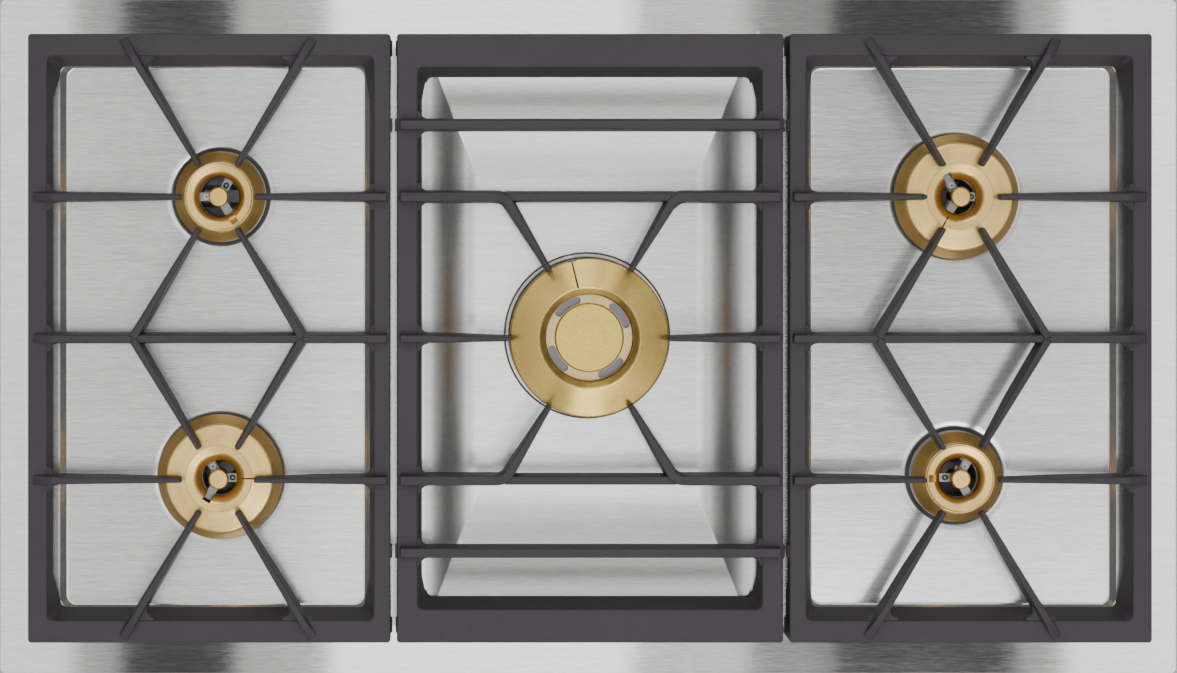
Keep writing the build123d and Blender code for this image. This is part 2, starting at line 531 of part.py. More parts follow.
def centre_support():
    frame = support_frame(-CENTRE_EDGE_X, CENTRE_EDGE_X, CENTRE_BAR, CENTRE_BAR, CENTRE_END_BAR)
    end_x, wall = CENTRE_EDGE_X - END_SETBACK, CENTRE_EDGE_X - CENTRE_BAR - CORNER_SETBACK
    tip_x, tip_y = polar(CENTRE_TIP_R, FINGER_ANGLE)
    bend_x = tip_x + (BURNER_Y - tip_y) / tan(radians(FINGER_ANGLE))
    bars = []
    for side in (-1, 1):
        bars.append(bar((side * end_x, 0), (side * CENTRE_TIP_R, 0), FINGER_W, FINGER_TIP_W,
                        finger_profile()))
        bars.append(bar((-end_x, side * CENTRE_BAR_Y), (end_x, side * CENTRE_BAR_Y), BAR_W, BAR_W,
                        finger_profile(tip=False), round_end=False))
        bars.append(bar((-bend_x, side * BURNER_Y), (bend_x, side * BURNER_Y), FINGER_W, FINGER_W,
                        finger_profile(drop=TIE_DROP, tip=False), round_end=False))
        for end in (-1, 1):
            bend = (end * bend_x, side * BURNER_Y)
            bars.append(bar((end * end_x, side * BURNER_Y), bend, BAR_W, BAR_W,
                            finger_profile(tip=False)))
            bars.append(bar(bend, (end * tip_x, side * tip_y), FINGER_W, FINGER_TIP_W, finger_profile()))
            turns = (90 - end * 90, -side * (90 + end * (90 - FINGER_ANGLE)))
            bars.append(cast_corner(inner_corner(bend, *turns, BAR_W), *turns, BEND_R, PAN_PLANE - 1))
            for y in (side * BURNER_Y, side * CENTRE_BAR_Y):
                bars += end_corners((end * end_x, y), 90 + end * 90, end * wall, 90, BAR_W)
        bars += end_corners((side * end_x, 0), 90 + side * 90, side * wall, 90, FINGER_W)
    support = frame.fuse(*bars)
    for side in (-1, 1):
        for end in (-1, 1):
            support += nub(end * CENTRE_EDGE_X, side * CENTRE_BAR_Y, end)
    return with_foot_holes(support, -CENTRE_EDGE_X, CENTRE_EDGE_X)


def nub(x, y, outwards):
    """Small stop on a frame's side that keeps two supports apart."""
    return Pos(x + outwards * NUB_T / 2, y, FRAME_TOP - NUB_H / 2 - 2) * Box(NUB_T, NUB_W, NUB_H)


def foot_places(low_x, high_x):
    """Middle of each foot, and which way it stands proud of the frame."""
    for sign in (-1, 1):
        y = sign * (HALF_SUPPORT_Y - FOOT_INSET_Y)
        yield low_x + FOOT_X / 2 - FOOT_PROUD, y
        yield high_x - FOOT_X / 2 + FOOT_PROUD, y


def with_foot_holes(support, low_x, high_x):
    for x, y in foot_places(low_x, high_x):
        drill = Cylinder(FOOT_STEM_R + FIT, FOOT_STEM_H + FIT)
        support -= Pos(x, y, SUPPORT_BASE + FOOT_STEM_H / 2) * drill
    return support


def make_feet(low_x, high_x):
    feet = []
    for x, y in foot_places(low_x, high_x):
        pad = Pos(x, y, RIM_TOP + FOOT_H / 2) * Box(FOOT_X, FOOT_Y, FOOT_H)
        stem = Pos(x, y, SUPPORT_BASE + FOOT_STEM_H / 2 - FIT) * Cylinder(FOOT_STEM_R, FOOT_STEM_H - FIT)
        feet.append(pad + stem)
    return Compound(children=feet)


# ---------------------------------------------------------------- outer burners

def radial_box(radius, angle, length, width, height, z):
    """Box whose middle lies on a radius at this angle, and whose length runs along it."""
    x, y = polar(radius, angle)
    return Pos(x, y, z) * Rot(0, 0, angle) * Box(length, width, height)


def collar_r(burner):
    """Inside of the ring's collar, which the cap's neck slips into."""
    return burner.bore_r + WALL / 2 + LIFT_GAP


def make_cup(burner):
    """Aluminium cup: gas chamber round an open throat, with the strutted hub above it."""
    foot_z = burner.floor - DIMPLE_DEPTH
    collar = collar_r(burner)
    flange_r = burner.dimple_r - DIMPLE_RUN - 1
    shoulder_r, throat = burner.ring_r - HOLE_CLEARANCE, burner.bore_r
    cup = revolved([
        (flange_r, foot_z), (flange_r, foot_z + CUP_FLANGE_T),
        (burner.waist_r, foot_z + CUP_FLANGE_T + 1), (burner.waist_r, burner.edge_z - CUP_FLANGE_T - 1),
        (shoulder_r, burner.edge_z - CUP_FLANGE_T), (shoulder_r, burner.edge_z),
        (burner.waist_r + WALL / 2, burner.edge_z), (burner.waist_r + WALL / 2, burner.edge_z + 1),
        (burner.waist_r - WALL, burner.edge_z + 1), (burner.waist_r - WALL, CUP_BOTTOM + WALL),
        (collar + WALL, CUP_BOTTOM + WALL), (collar + WALL, burner.edge_z - 1),
        (throat, burner.edge_z - 1), (throat, CUP_BOTTOM),
        (burner.waist_r, CUP_BOTTOM), (burner.waist_r, foot_z)])
    boss = Pos(burner.jet_x, 0, CUP_BOTTOM - JET_BOSS_H / 2) * Cylinder(JET_BOSS_R, JET_BOSS_H)
    cup += boss
    hub_z = burner.hub_z
    post_height = hub_z - CUP_BOTTOM
    cup += Pos(0, 0, CUP_BOTTOM + post_height / 2) * Cylinder(POST_R, post_height)
    for angle in burner.struts:
        cup += radial_box(throat / 2, angle, throat + 1, STRUT_T, STRUT_T * 2, CUP_BOTTOM + STRUT_T)
        reach = throat - LIFT_GAP
        cup += radial_box(reach / 2, angle, reach, STRUT_W, STRUT_T, hub_z - STRUT_T / 2)
    if burner.pocket_at in burner.struts:
        reach = throat + POCKET - 1.2
        cup += radial_box(reach / 2, burner.pocket_at, reach, STRUT_W - 1.2, STRUT_T, hub_z - STRUT_T / 2)
    cup -= Pos(burner.jet_x, 0, CUP_BOTTOM - JET_BOSS_H / 2) * Cylinder(JET_R + FIT, 3 * JET_BOSS_H)
    for x, y, radius in probe_places(burner):
        cup -= Pos(x, y, 0) * Cylinder(radius + FIT, 100)
    return burner.place(cup)


def probe_places(burner):
    """Electrode and thermocouple: place in the burner's throat and radius."""
    electrode = polar(PROBE_AXIS_R, burner.electrode_at)
    others = [angle for angle in burner.struts if angle != burner.electrode_at]
    probe = polar(PROBE_AXIS_R, others[0])
    return [(*electrode, CERAMIC_R), (*probe, PROBE_R)]


def make_ring(burner):
    """Brass ring: sloping skirt, seat for the cap, and a collar with inward flame ports."""
    collar = collar_r(burner)
    top = burner.seat_z
    ring = revolved([
        (burner.ring_r, burner.edge_z), (burner.ring_r, burner.edge_z + SEAT_W),
        (burner.cap_r + SEAT_W, top - SEAT_W), (burner.cap_r, top), (collar, top),
        (collar, burner.edge_z), (collar + WALL, burner.edge_z), (collar + WALL, top - WALL),
        (burner.cap_r - 1.5, top - WALL), (burner.ring_r - WALL, burner.edge_z)])
    for i in range(burner.ports):
        ring -= radial_box(collar + WALL / 2, 360 * (i + 0.5) / burner.ports, 2 * WALL, PORT_W, PORT_H,
                           burner.edge_z + PORT_H / 2 + 1)
    if burner.pocket_at in burner.struts:
        ring -= radial_box(burner.bore_r + POCKET / 2, burner.pocket_at, POCKET + 2, STRUT_W, 60, 0)
    return burner.place(ring)


def make_cap(burner):
    """Brass cap with a rounded lead-in to its bore, a pocket and a cross-lighting slit."""
    top, seat, bore = burner.cap_top, burner.seat_z, burner.bore_r
    neck_r, neck_z = bore + WALL / 2, seat - NECK_H
    outline = [
        Polyline((bore + LEAD_IN, top), (burner.cap_r - CAP_CHAMFER, top - CAP_FALL / 2),
                 (burner.cap_r - CAP_FALL / 2, top - CAP_FALL), (burner.cap_r, top - CAP_CHAMFER),
                 (burner.cap_r, seat), (neck_r, seat), (neck_r, neck_z), (bore, neck_z),
                 (bore, top - LEAD_IN)),
        RadiusArc((bore, top - LEAD_IN), (bore + LEAD_IN, top), LEAD_IN)]
    cap = revolve(Plane.XZ * make_face(outline), Axis.Z)
    if burner.pocket_at in burner.struts:
        cap -= radial_box(bore + POCKET / 2 - 1, burner.pocket_at, POCKET + 2, POCKET, 60, 0)
    else:
        depth = top - seat - 1
        side = POCKET - SEAT_W
        cap -= radial_box(bore + side / 2 + 2 * SEAT_W, burner.pocket_at, side, side, 2 * depth, top)
    if burner.slit_at is not None:
        length = burner.cap_r - bore
        cap -= radial_box(bore + length / 2, burner.slit_at, length + 2, SLIT_W, 2 * SLIT_DEPTH, top)
        cap -= radial_box(burner.cap_r, burner.slit_at, NOTCH_DEPTH * 2, NOTCH_W, 2 * SLIT_DEPTH + 2, top)
    return burner.place(cap)


def make_stud(burner):
    """Brass stud that covers the hub in the middle of the burner."""
    hub_z, top, head_r = burner.hub_z, burner.stud_top, burner.stud_r
    neck_r = head_r - 2
    stud = revolved([
        (0, top), (head_r - STUD_CHAMFER, top), (head_r, top - STUD_CHAMFER), (head_r, top - STUD_HEAD_H),
        (neck_r, top - STUD_HEAD_H - 1), (neck_r, hub_z), (0, hub_z)])
    for x, y, radius in probe_places(burner):
        stud -= Pos(x, y, 0) * Cylinder(radius + LIFT_GAP, 100)
    return burner.place(stud)


def make_electrode(x, y, bottom, shoulder, top):
    """White ceramic rod with a metal pin through it."""
    rod = revolved([(0, bottom), (CERAMIC_R, bottom), (CERAMIC_R, shoulder - 1),
                    (CERAMIC_R - 0.6, shoulder), (PIN_R, shoulder), (PIN_R, top), (0, top)])
    return Pos(x, y, 0) * rod


def burner_electrode(burner):
    x, y, radius = probe_places(burner)[0]
    return burner.place(make_electrode(x, y, PROBE_BOTTOM, burner.hub_z + 1, burner.hub_z + 2.5))


def make_thermocouples():
    """Flame-failure probe of each burner."""
    probes = []
    for burner in BURNERS:
        x, y, radius = probe_places(burner)[1]
        probe = thermocouple(PROBE_BOTTOM, burner.hub_z - 4, burner.hub_z + 3)
        probes.append(burner.place(Pos(x, y, 0) * probe))
    x, y, radius = wok_probes()[1]
    probes.append(Pos(x, y, RIM_TOP) * thermocouple(WOK_CUP_BOTTOM - 4, 8, 14))
    return Compound(children=probes)


def thermocouple(bottom, shoulder, top):
    return revolved([(0, bottom), (PROBE_R, bottom), (PROBE_R, shoulder), (PROBE_TIP_R, shoulder + 2),
                     (PROBE_TIP_R, top), (0, top)])


# ---------------------------------------------------------------- wok burner

def make_wok_cup():
    """Deep aluminium cup with an outer and an inner gas chamber."""
    foot_z = -BASIN_DEPTH - DIMPLE_DEPTH
    foot_r = WOK_DIMPLE_R - DIMPLE_RUN - 1
    body, inner = WOK_BODY_R, WOK_COLLAR_R
    cup = revolved([
        (foot_r, foot_z), (foot_r, foot_z + 2), (body, foot_z + 4), (body, WOK_SHOULDER_Z),
        (body - 3, WOK_SHOULDER_Z), (body - 3, WOK_SHOULDER_Z + 1.5),
        (body - 3 - WALL, WOK_SHOULDER_Z + 1.5),
        (body - 3 - WALL, WOK_CUP_BOTTOM + WALL), (inner + WALL, WOK_CUP_BOTTOM + WALL),
        (inner + WALL, WOK_SHOULDER_Z + 1), (inner, WOK_SHOULDER_Z + 1), (inner, WOK_CUP_BOTTOM + WALL),
        (0, WOK_CUP_BOTTOM + WALL), (0, WOK_CUP_BOTTOM), (body, WOK_CUP_BOTTOM), (body, foot_z)])
    pedestal = WOK_FLOOR_Z - WALL - WOK_CUP_BOTTOM
    cup += Pos(0, 0, WOK_CUP_BOTTOM + pedestal / 2) * tube(WOK_THROAT_R, WALL, pedestal)
    cup += Pos(0, WOK_JET_Y, WOK_CUP_BOTTOM - JET_BOSS_H / 2) * Cylinder(JET_BOSS_R, JET_BOSS_H)
    cup -= Pos(0, WOK_JET_Y, WOK_CUP_BOTTOM - JET_BOSS_H / 2) * Cylinder(JET_R + FIT, 3 * JET_BOSS_H)
    for x, y, probe_r in wok_probes():
        cup -= Pos(x, y, 0) * Cylinder(probe_r + FIT, 100)
    return Pos(0, 0, RIM_TOP) * cup


def wok_probes():
    """Electrode and thermocouple beside the wok burner's wall: place and radius."""
    return [(*polar(WOK_PROBE_AXIS_R, WOK_ELECTRODE_AT), CERAMIC_R),
            (*polar(WOK_PROBE_AXIS_R, WOK_PROBE_AT), PROBE_R)]


def make_wok_ring():
    """Brass ring with upright flame ports all round, under the cap's edge."""
    low, high = WOK_SHOULDER_Z, WOK_EDGE_Z - WOK_CAP_EDGE
    body = WOK_BODY_R - 0.5
    ring = revolved([
        (body, low), (body, high), (body - WALL * 1.6, high), (body - WALL * 1.6, low + 3),
        (body - WALL, low + 3), (body - WALL, low)])
    ring += revolved([
        (WOK_COLLAR_R, low + 3), (body - WALL, low + 3),
        (body - WALL, low + 3 + WALL), (WOK_COLLAR_R, low + 3 + WALL)])
    for i in range(WOK_PORTS):
        ring -= radial_box(body, 360 * (i + 0.5) / WOK_PORTS, 4 * WALL, PORT_W, WOK_PORT_H,
                           high - WOK_PORT_H / 2 - 1)
    for i in range(12):
        ring -= radial_box((body + WOK_COLLAR_R) / 2 - 1, 30 * i, 6, 8, 10, low + 4)
    return Pos(0, 0, RIM_TOP) * ring


def make_wok_cap():
    """Broad brass cone with a rounded crest and a short inner wall."""
    low = WOK_EDGE_Z - WOK_CAP_EDGE
    crest, bore = WOK_CREST_R, WOK_BORE_R
    cap = revolved([
        (WOK_CAP_R - 0.8, WOK_EDGE_Z - 0.2), (crest + 1.5, WOK_CREST_Z - 0.3), (crest, WOK_CREST_Z),
        (crest - 0.8, WOK_CREST_Z - 0.4), (bore + 1.6, WOK_FLOOR_Z + 4), (bore, WOK_FLOOR_Z + 2),
        (bore, low), (WOK_CAP_R - 1, low), (WOK_CAP_R, low + 0.6), (WOK_CAP_R, WOK_EDGE_Z - 0.8)])
    slit_length = WOK_CAP_R - crest
    slope = degrees(atan2(WOK_CREST_Z - WOK_EDGE_Z, slit_length))
    x, y = polar(crest + slit_length / 2, WOK_NOTCH_AT)
    middle_z = (WOK_CREST_Z + WOK_EDGE_Z) / 2
    cap -= Pos(x, y, middle_z) * Rot(0, 0, WOK_NOTCH_AT) * Rot(0, slope, 0) * Box(
        slit_length, SLIT_W, 2 * SLIT_DEPTH)
    cap -= radial_box(WOK_CAP_R, WOK_NOTCH_AT, 2 * NOTCH_DEPTH, NOTCH_W + 1.5, 10, WOK_EDGE_Z)
    return Pos(0, 0, RIM_TOP) * cap


def arc_slot(radius, width, arc, middle, height):
    """Curved slot with round ends about the Z axis."""
    ring = Circle(radius + width / 2) - Circle(radius - width / 2)
    reach = 2 * radius
    wedge = make_face(Polyline((0, 0), polar(reach, middle - arc / 2), polar(reach * 1.2, middle),
                               polar(reach, middle + arc / 2), close=True))
    slot = ring & wedge
    for end in (-arc / 2, arc / 2):
        slot += Pos(*polar(radius, middle + end)) * Circle(width / 2)
    return extrude(slot, height, both=True)


def make_wok_inner_ring():
    """Pale inner plate with four curved air slots, standing on the pedestal."""
    outer = WOK_BORE_R - LIFT_GAP - 0.1
    ring = revolved([
        (WOK_DISC_R - 8, WOK_FLOOR_Z - WALL), (WOK_DISC_R - 8, WOK_FLOOR_Z), (outer, WOK_FLOOR_Z),
        (outer, WOK_FLOOR_Z - 7), (outer - WALL, WOK_FLOOR_Z - 7), (outer - WALL, WOK_FLOOR_Z - WALL)])
    end_arc = degrees(WOK_SLOT_W / WOK_SLOT_R)
    for middle in WOK_SLOTS_AT:
        ring -= Pos(0, 0, WOK_FLOOR_Z) * arc_slot(
            WOK_SLOT_R, WOK_SLOT_W, WOK_SLOT_ARC - end_arc, middle, 2 * WALL)
    return Pos(0, 0, RIM_TOP) * ring


def make_wok_centre_cap():
    """Round brass disc over the inner flame, with a spigot into the plate below it."""
    top = WOK_FLOOR_Z + WOK_DISC_T
    spigot = WOK_DISC_R - 8 - LIFT_GAP
    disc = revolved([
        (0, top), (WOK_DISC_R - 1, top), (WOK_DISC_R, top - 0.8), (WOK_DISC_R, WOK_FLOOR_Z),
        (spigot, WOK_FLOOR_Z), (spigot, WOK_FLOOR_Z - 1.5), (0, WOK_FLOOR_Z - 1.5)])
    return Pos(0, 0, RIM_TOP) * disc


def wok_electrode():
    x, y, radius = wok_probes()[0]
    return Pos(0, 0, RIM_TOP) * make_electrode(x, y, WOK_CUP_BOTTOM - 4, 9, 14)


# ---------------------------------------------------------------- gas line

def tap_places():
    return [TAP_PITCH * (i - 2) for i in range(5)]


def make_tap_body(x):
    """Brass tap: tapered chamber along Y, inlet stem up to the rail, outlet nut at the back."""
    body = revolved([
        (0, 0), (TAP_R, 0), (TAP_R, TAP_LENGTH - 4), (TAP_R - 3, TAP_LENGTH), (NUT_R - 1.5, TAP_LENGTH),
        (NUT_R - 1.5, TAP_LENGTH + NUT_NECK), (0, TAP_LENGTH + NUT_NECK)])
    nut = Pos(0, 0, TAP_LENGTH + NUT_NECK) * extrude(RegularPolygon(NUT_R, 6), NUT_LENGTH)
    body += nut
    front = SHAFT_R + FIT
    chamber_end = PLUG_START + PLUG_LENGTH
    chamber = revolved([
        (0, -1), (front, -1), (front, BONNET), (PLUG_R_FRONT + FIT, BONNET),
        (PLUG_R_FRONT + FIT, PLUG_START), (PLUG_R_BACK + FIT, chamber_end), (0, chamber_end)])
    gas_way = Pos(0, 0, TAP_LENGTH) * Cylinder(PIPE_R - PIPE_WALL, 3 * NUT_LENGTH)
    pipe_seat = Pos(0, 0, TAP_LENGTH + NUT_NECK + NUT_LENGTH / 2) * Cylinder(PIPE_R + FIT, NUT_LENGTH)
    body = body - chamber - gas_way - pipe_seat
    body = Pos(x, TAP_FRONT, TAP_Z) * Rot(-90, 0, 0) * body
    stem_bottom = TAP_Z + TAP_R - 1.5
    stem = Pos(x, RAIL_Y, (stem_bottom + RAIL_Z) / 2) * Cylinder(STEM_R, RAIL_Z - stem_bottom)
    stem -= Pos(x, RAIL_Y, RAIL_Z) * Rot(0, 90, 0) * Cylinder(RAIL_R + FIT, 40)
    body += stem
    return body - Pos(x, RAIL_Y, TAP_Z + TAP_R + 3) * Cylinder(STEM_HOLE_R, 16)


def make_tap_plug(x):
    """Tapered plug with a gas hole across it and a slot for the spindle's tang."""
    back = PLUG_START + PLUG_LENGTH - PLUG_END_GAP
    plug = revolved([(0, PLUG_START), (PLUG_R_FRONT, PLUG_START), (PLUG_R_BACK, back), (0, back)])
    plug -= Pos(0, 0, PLUG_START + PLUG_LENGTH / 2) * Rot(90, 0, 0) * Cylinder(STEM_HOLE_R, 30)
    plug -= Pos(0, 0, PLUG_START) * Box(TANG_T + 2 * FIT, TANG_W + 2 * FIT, 2 * (PUSH_TRAVEL + TANG_IN + 1))
    return Pos(x, TAP_FRONT, TAP_Z) * Rot(-90, 0, 0) * plug


def make_tap_spindle(x):
    """Steel spindle: tang in the plug, round through the tap and tray, flat at its free end."""
    out = TAP_FRONT - TRAY_FRONT + SPINDLE_OUT
    inner_end = BONNET + COLLAR_T + COLLAR_PLAY / 2
    step = TAP_FRONT - TRAY_FRONT + SPINDLE_STEP
    rod = revolved([(0, inner_end), (SHAFT_R, inner_end), (SHAFT_R, -step), (SPINDLE_NECK_R, -step),
                    (SPINDLE_NECK_R, -step - 1), (SPINDLE_R, -step - 1), (SPINDLE_R, -out), (0, -out)])
    collar = Pos(0, 0, inner_end - COLLAR_T / 2) * Cylinder(PLUG_R_FRONT - 1.5, COLLAR_T)
    tang_end = PLUG_START + TANG_IN
    tang_length = tang_end - inner_end + COLLAR_T / 2
    tang = Pos(0, 0, tang_end - tang_length / 2) * Box(TANG_T, TANG_W, tang_length)
    spindle = rod + collar + tang
    spindle -= Pos(SPINDLE_R, 0, -out) * Box(2 * FLAT_DEPTH, 4 * SPINDLE_R, 2 * SPINDLE_FLAT)
    return Pos(x, TAP_FRONT, TAP_Z) * Rot(-90, 0, 0) * spindle


def make_manifold_rail():
    rail = Rot(0, 90, 0) * tube(RAIL_R, RAIL_WALL, 2 * RAIL_X)
    cap = Pos(-RAIL_X + 1.5, 0, 0) * Rot(0, 90, 0) * Cylinder(RAIL_R - RAIL_WALL / 2, 3)
    rail = Pos(0, RAIL_Y, RAIL_Z) * (rail + cap)
    for x in tap_places():
        rail -= Pos(x, RAIL_Y, RAIL_Z - RAIL_R) * Cylinder(STEM_HOLE_R, 10)
    return rail


def piped(points, radius, wall, bend_r):
    """Round pipe along straight runs joined by arcs."""
    path = FilletPolyline(*points, radius=bend_r)
    start = Plane(origin=path @ 0, z_dir=path % 0)
    return sweep(start * (Circle(radius) - Circle(radius - wall)), path=path)


def make_gas_inlet():
    """Feed pipe from the rail's end to a hexagon inside the tray and a thread through its wall."""
    wall = TRAY_Y / 2 - TRAY_SHEET
    pipe = piped([(RAIL_X, RAIL_Y, RAIL_Z), (INLET_X, RAIL_Y, RAIL_Z), (INLET_X, wall - 2, RAIL_Z)],
                 RAIL_R - RAIL_WALL / 2, RAIL_WALL, INLET_TURN * 0.9)
    hexagon = Pos(0, 0, -INLET_HEX_T) * extrude(RegularPolygon(INLET_HEX_R, 6), INLET_HEX_T)
    neck = TRAY_SHEET + 1
    thread = revolved([(0, 0), (INLET_THREAD_R - 1, 0), (INLET_THREAD_R - 1, neck), (INLET_THREAD_R, neck),
                       (INLET_THREAD_R, neck + INLET_LENGTH), (0, neck + INLET_LENGTH)])
    bore = Cylinder(RAIL_R - 1.5 * RAIL_WALL, 4 * INLET_LENGTH)
    return pipe + Pos(INLET_X, wall, RAIL_Z) * Rot(-90, 0, 0) * (hexagon + thread - bore)


def make_rail_brackets():
    """Two angle brackets that carry the rail on the tray's floor."""
    height = RAIL_Z - TRAY_FLOOR
    upright = Pos(0, 0, TRAY_FLOOR + height / 2) * Box(BRACKET_T, BRACKET_W, height)
    foot = Pos(BRACKET_FOOT / 2, 0, TRAY_FLOOR + BRACKET_T / 2) * Box(BRACKET_FOOT, BRACKET_W, BRACKET_T)
    bracket = upright + foot - Pos(0, 0, RAIL_Z) * Rot(0, 90, 0) * Cylinder(RAIL_R + FIT, 4 * BRACKET_T)
    return Compound(children=[Pos(x, RAIL_Y, 0) * bracket for x in BRACKET_X])


def make_gas_pipes():
    """Pipes from the taps to the jets, each with two runs and one bend."""
    pipes = []
    start_y = TAP_BACK + NUT_NECK + NUT_LENGTH - PIPE_IN
    for burner in BURNERS:
        x = tap_places()[burner.tap]
        side = 1 if burner.x < 0 else -1
        end_x = burner.x + burner.jet_x + side * JET_FLAT
        pipes.append(piped([(x, start_y, TAP_Z), (x, burner.y, TAP_Z), (end_x, burner.y, TAP_Z)],
                           PIPE_R, PIPE_WALL, PIPE_BEND_R))
    end_y = WOK_JET_Y - JET_FLAT
    straight = Rot(90, 0, 0) * tube(PIPE_R, PIPE_WALL, end_y - start_y)
    pipes.append(Pos(0, (start_y + end_y) / 2, TAP_Z) * straight)
    return Compound(children=pipes)


def make_gas_injectors():
    """Brass jets: thread up into the cup, hexagon below it, side port for the pipe."""
    jets = [jet(b.x + b.jet_x, b.y, CUP_BOTTOM, 30) for b in BURNERS]
    jets.append(jet(0, WOK_JET_Y, WOK_CUP_BOTTOM, 0))
    return Compound(children=jets)


def jet(x, y, cup_bottom, turn):
    top = RIM_TOP + cup_bottom - JET_BOSS_H
    bottom = TAP_Z - PIPE_R - 3
    body = Pos(x, y, bottom) * Rot(0, 0, turn) * extrude(RegularPolygon(JET_HEX_R, 6), top - bottom)
    thread = Pos(x, y, top + (JET_BOSS_H + 2) / 2) * Cylinder(JET_R, JET_BOSS_H + 2)
    return body + thread - Pos(x, y, TAP_Z + 20) * Cylinder(JET_HOLE_R, 40)


def make_ignition_module():
    """Spark generator in the tray's front right corner, with five lead sockets."""
    middle_z = MODULE_SIZE[2] / 2
    box = fillet(Box(*MODULE_SIZE).edges().filter_by(Axis.Z), 3)
    for i in range(len(BURNERS) + 1):
        socket = Rot(90, 0, 0) * Cylinder(SOCKET_R, SOCKET_LENGTH)
        box += Pos((i - len(BURNERS) / 2) * SOCKET_PITCH, (MODULE_SIZE[1] + SOCKET_LENGTH) / 2, 0) * socket
    return Pos(*MODULE_AT, TRAY_FLOOR + middle_z) * box


# ---------------------------------------------------------------- export

def all_nodes():
    yield "top_plate", make_top_plate
    yield "rim_seal", make_rim_seal
    yield "base_tray", make_base_tray
    yield "tray_screws", make_tray_screws
    yield "worktop_clamps", make_worktop_clamps
    yield "clamp_screws", make_clamp_screws
    yield "pan_support_right", side_support
    yield "pan_support_left", lambda: side_support().mirror(Plane.YZ)
    yield "pan_support_centre", centre_support
    yield "support_feet_right", lambda: make_feet(SIDE_LOW_X, SIDE_HIGH_X)
    yield "support_feet_left", lambda: make_feet(-SIDE_HIGH_X, -SIDE_LOW_X)
    yield "support_feet_centre", lambda: make_feet(-CENTRE_EDGE_X, CENTRE_EDGE_X)
    for b in BURNERS:
        yield b.name + "_burner_cup", lambda b=b: make_cup(b)
        yield b.name + "_burner_ring", lambda b=b: make_ring(b)
        yield b.name + "_burner_cap", lambda b=b: make_cap(b)
        yield b.name + "_burner_stud", lambda b=b: make_stud(b)
        yield b.name + "_electrode", lambda b=b: burner_electrode(b)
    yield "wok_burner_cup", make_wok_cup
    yield "wok_burner_ring", make_wok_ring
    yield "wok_burner_cap", make_wok_cap
    yield "wok_inner_ring", make_wok_inner_ring
    yield "wok_centre_cap", make_wok_centre_cap
    yield "wok_electrode", wok_electrode
    yield "thermocouples", make_thermocouples
    yield "gas_injectors", make_gas_injectors
    yield "gas_pipes", make_gas_pipes
    yield "manifold_rail", make_manifold_rail
    yield "gas_inlet", make_gas_inlet
    yield "rail_brackets", make_rail_brackets
    yield "ignition_module", make_ignition_module
    for number, x in enumerate(tap_places(), start=1):
        yield f"tap_body_{number}", lambda x=x: make_tap_body(x)
        yield f"tap_plug_{number}", lambda x=x: make_tap_plug(x)
        yield f"tap_spindle_{number}", lambda x=x: make_tap_spindle(x)


os.makedirs("parts", exist_ok=True)
for name, make in all_nodes():
    export_step(make(), f"parts/{name}.step")
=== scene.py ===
from math import cos, degrees, hypot, pi, radians, sin, sqrt, tan

import bmesh
import bpy
from mathutils import Matrix, Vector
from mathutils.geometry import tessellate_polygon


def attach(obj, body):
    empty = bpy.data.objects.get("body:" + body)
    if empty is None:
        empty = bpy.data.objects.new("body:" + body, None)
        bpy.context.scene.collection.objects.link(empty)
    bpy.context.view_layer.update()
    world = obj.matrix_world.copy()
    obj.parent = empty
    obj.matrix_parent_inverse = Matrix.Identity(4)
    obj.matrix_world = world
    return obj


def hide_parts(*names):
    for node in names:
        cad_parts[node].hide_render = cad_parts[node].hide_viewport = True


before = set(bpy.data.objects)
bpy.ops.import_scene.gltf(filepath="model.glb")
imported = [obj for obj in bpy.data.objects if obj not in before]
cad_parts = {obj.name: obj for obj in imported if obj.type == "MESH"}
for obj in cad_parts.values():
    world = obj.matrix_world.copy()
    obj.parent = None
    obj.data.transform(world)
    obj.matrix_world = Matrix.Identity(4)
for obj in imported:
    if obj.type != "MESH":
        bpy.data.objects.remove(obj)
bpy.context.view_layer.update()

# Built-in gas cooktop. Sizes are in millimetres, in the CAD frame: X to the right, Y to the
# back, Z up, zero at the centre of the cut-out level with the worktop.

MM = 0.001

# ------------------------------------------------------------------ sizes

PLATE_X, PLATE_Y, PLATE_CORNER_R = 908.0, 520.0, 4.0
SHEET = 1.0
RIM_TOP, FOLD_GAP = 5.0, 0.6
SIDE_DEPTH, SIDE_OUTER_X, SIDE_INNER_X, SIDE_HALF_Y = 6.0, 408.0, 168.0, 212.0
SIDE_WALL_RUN, SIDE_CORNER_R = 4.0, 12.0
BASIN_DEPTH, BASIN_HALF_X, BASIN_HALF_Y = 19.0, 131.0, 236.0
BASIN_FLOOR_X, BASIN_FLOOR_Y, BASIN_CORNER_R = 86.0, 126.0, 1.2
DIMPLE_DEPTH, DISH_RUN, DISH_SLOPE, DISH_RIM_RUN, DISH_RIM_DROP = 3.0, 6.4, 0.30, 2.0, 0.34
WOK_DISH_RUN, WOK_DISH_STEP, WOK_DISH_FLOOR = 4.4, 1.3, 1.35
HOLE_CLEARANCE = 0.6

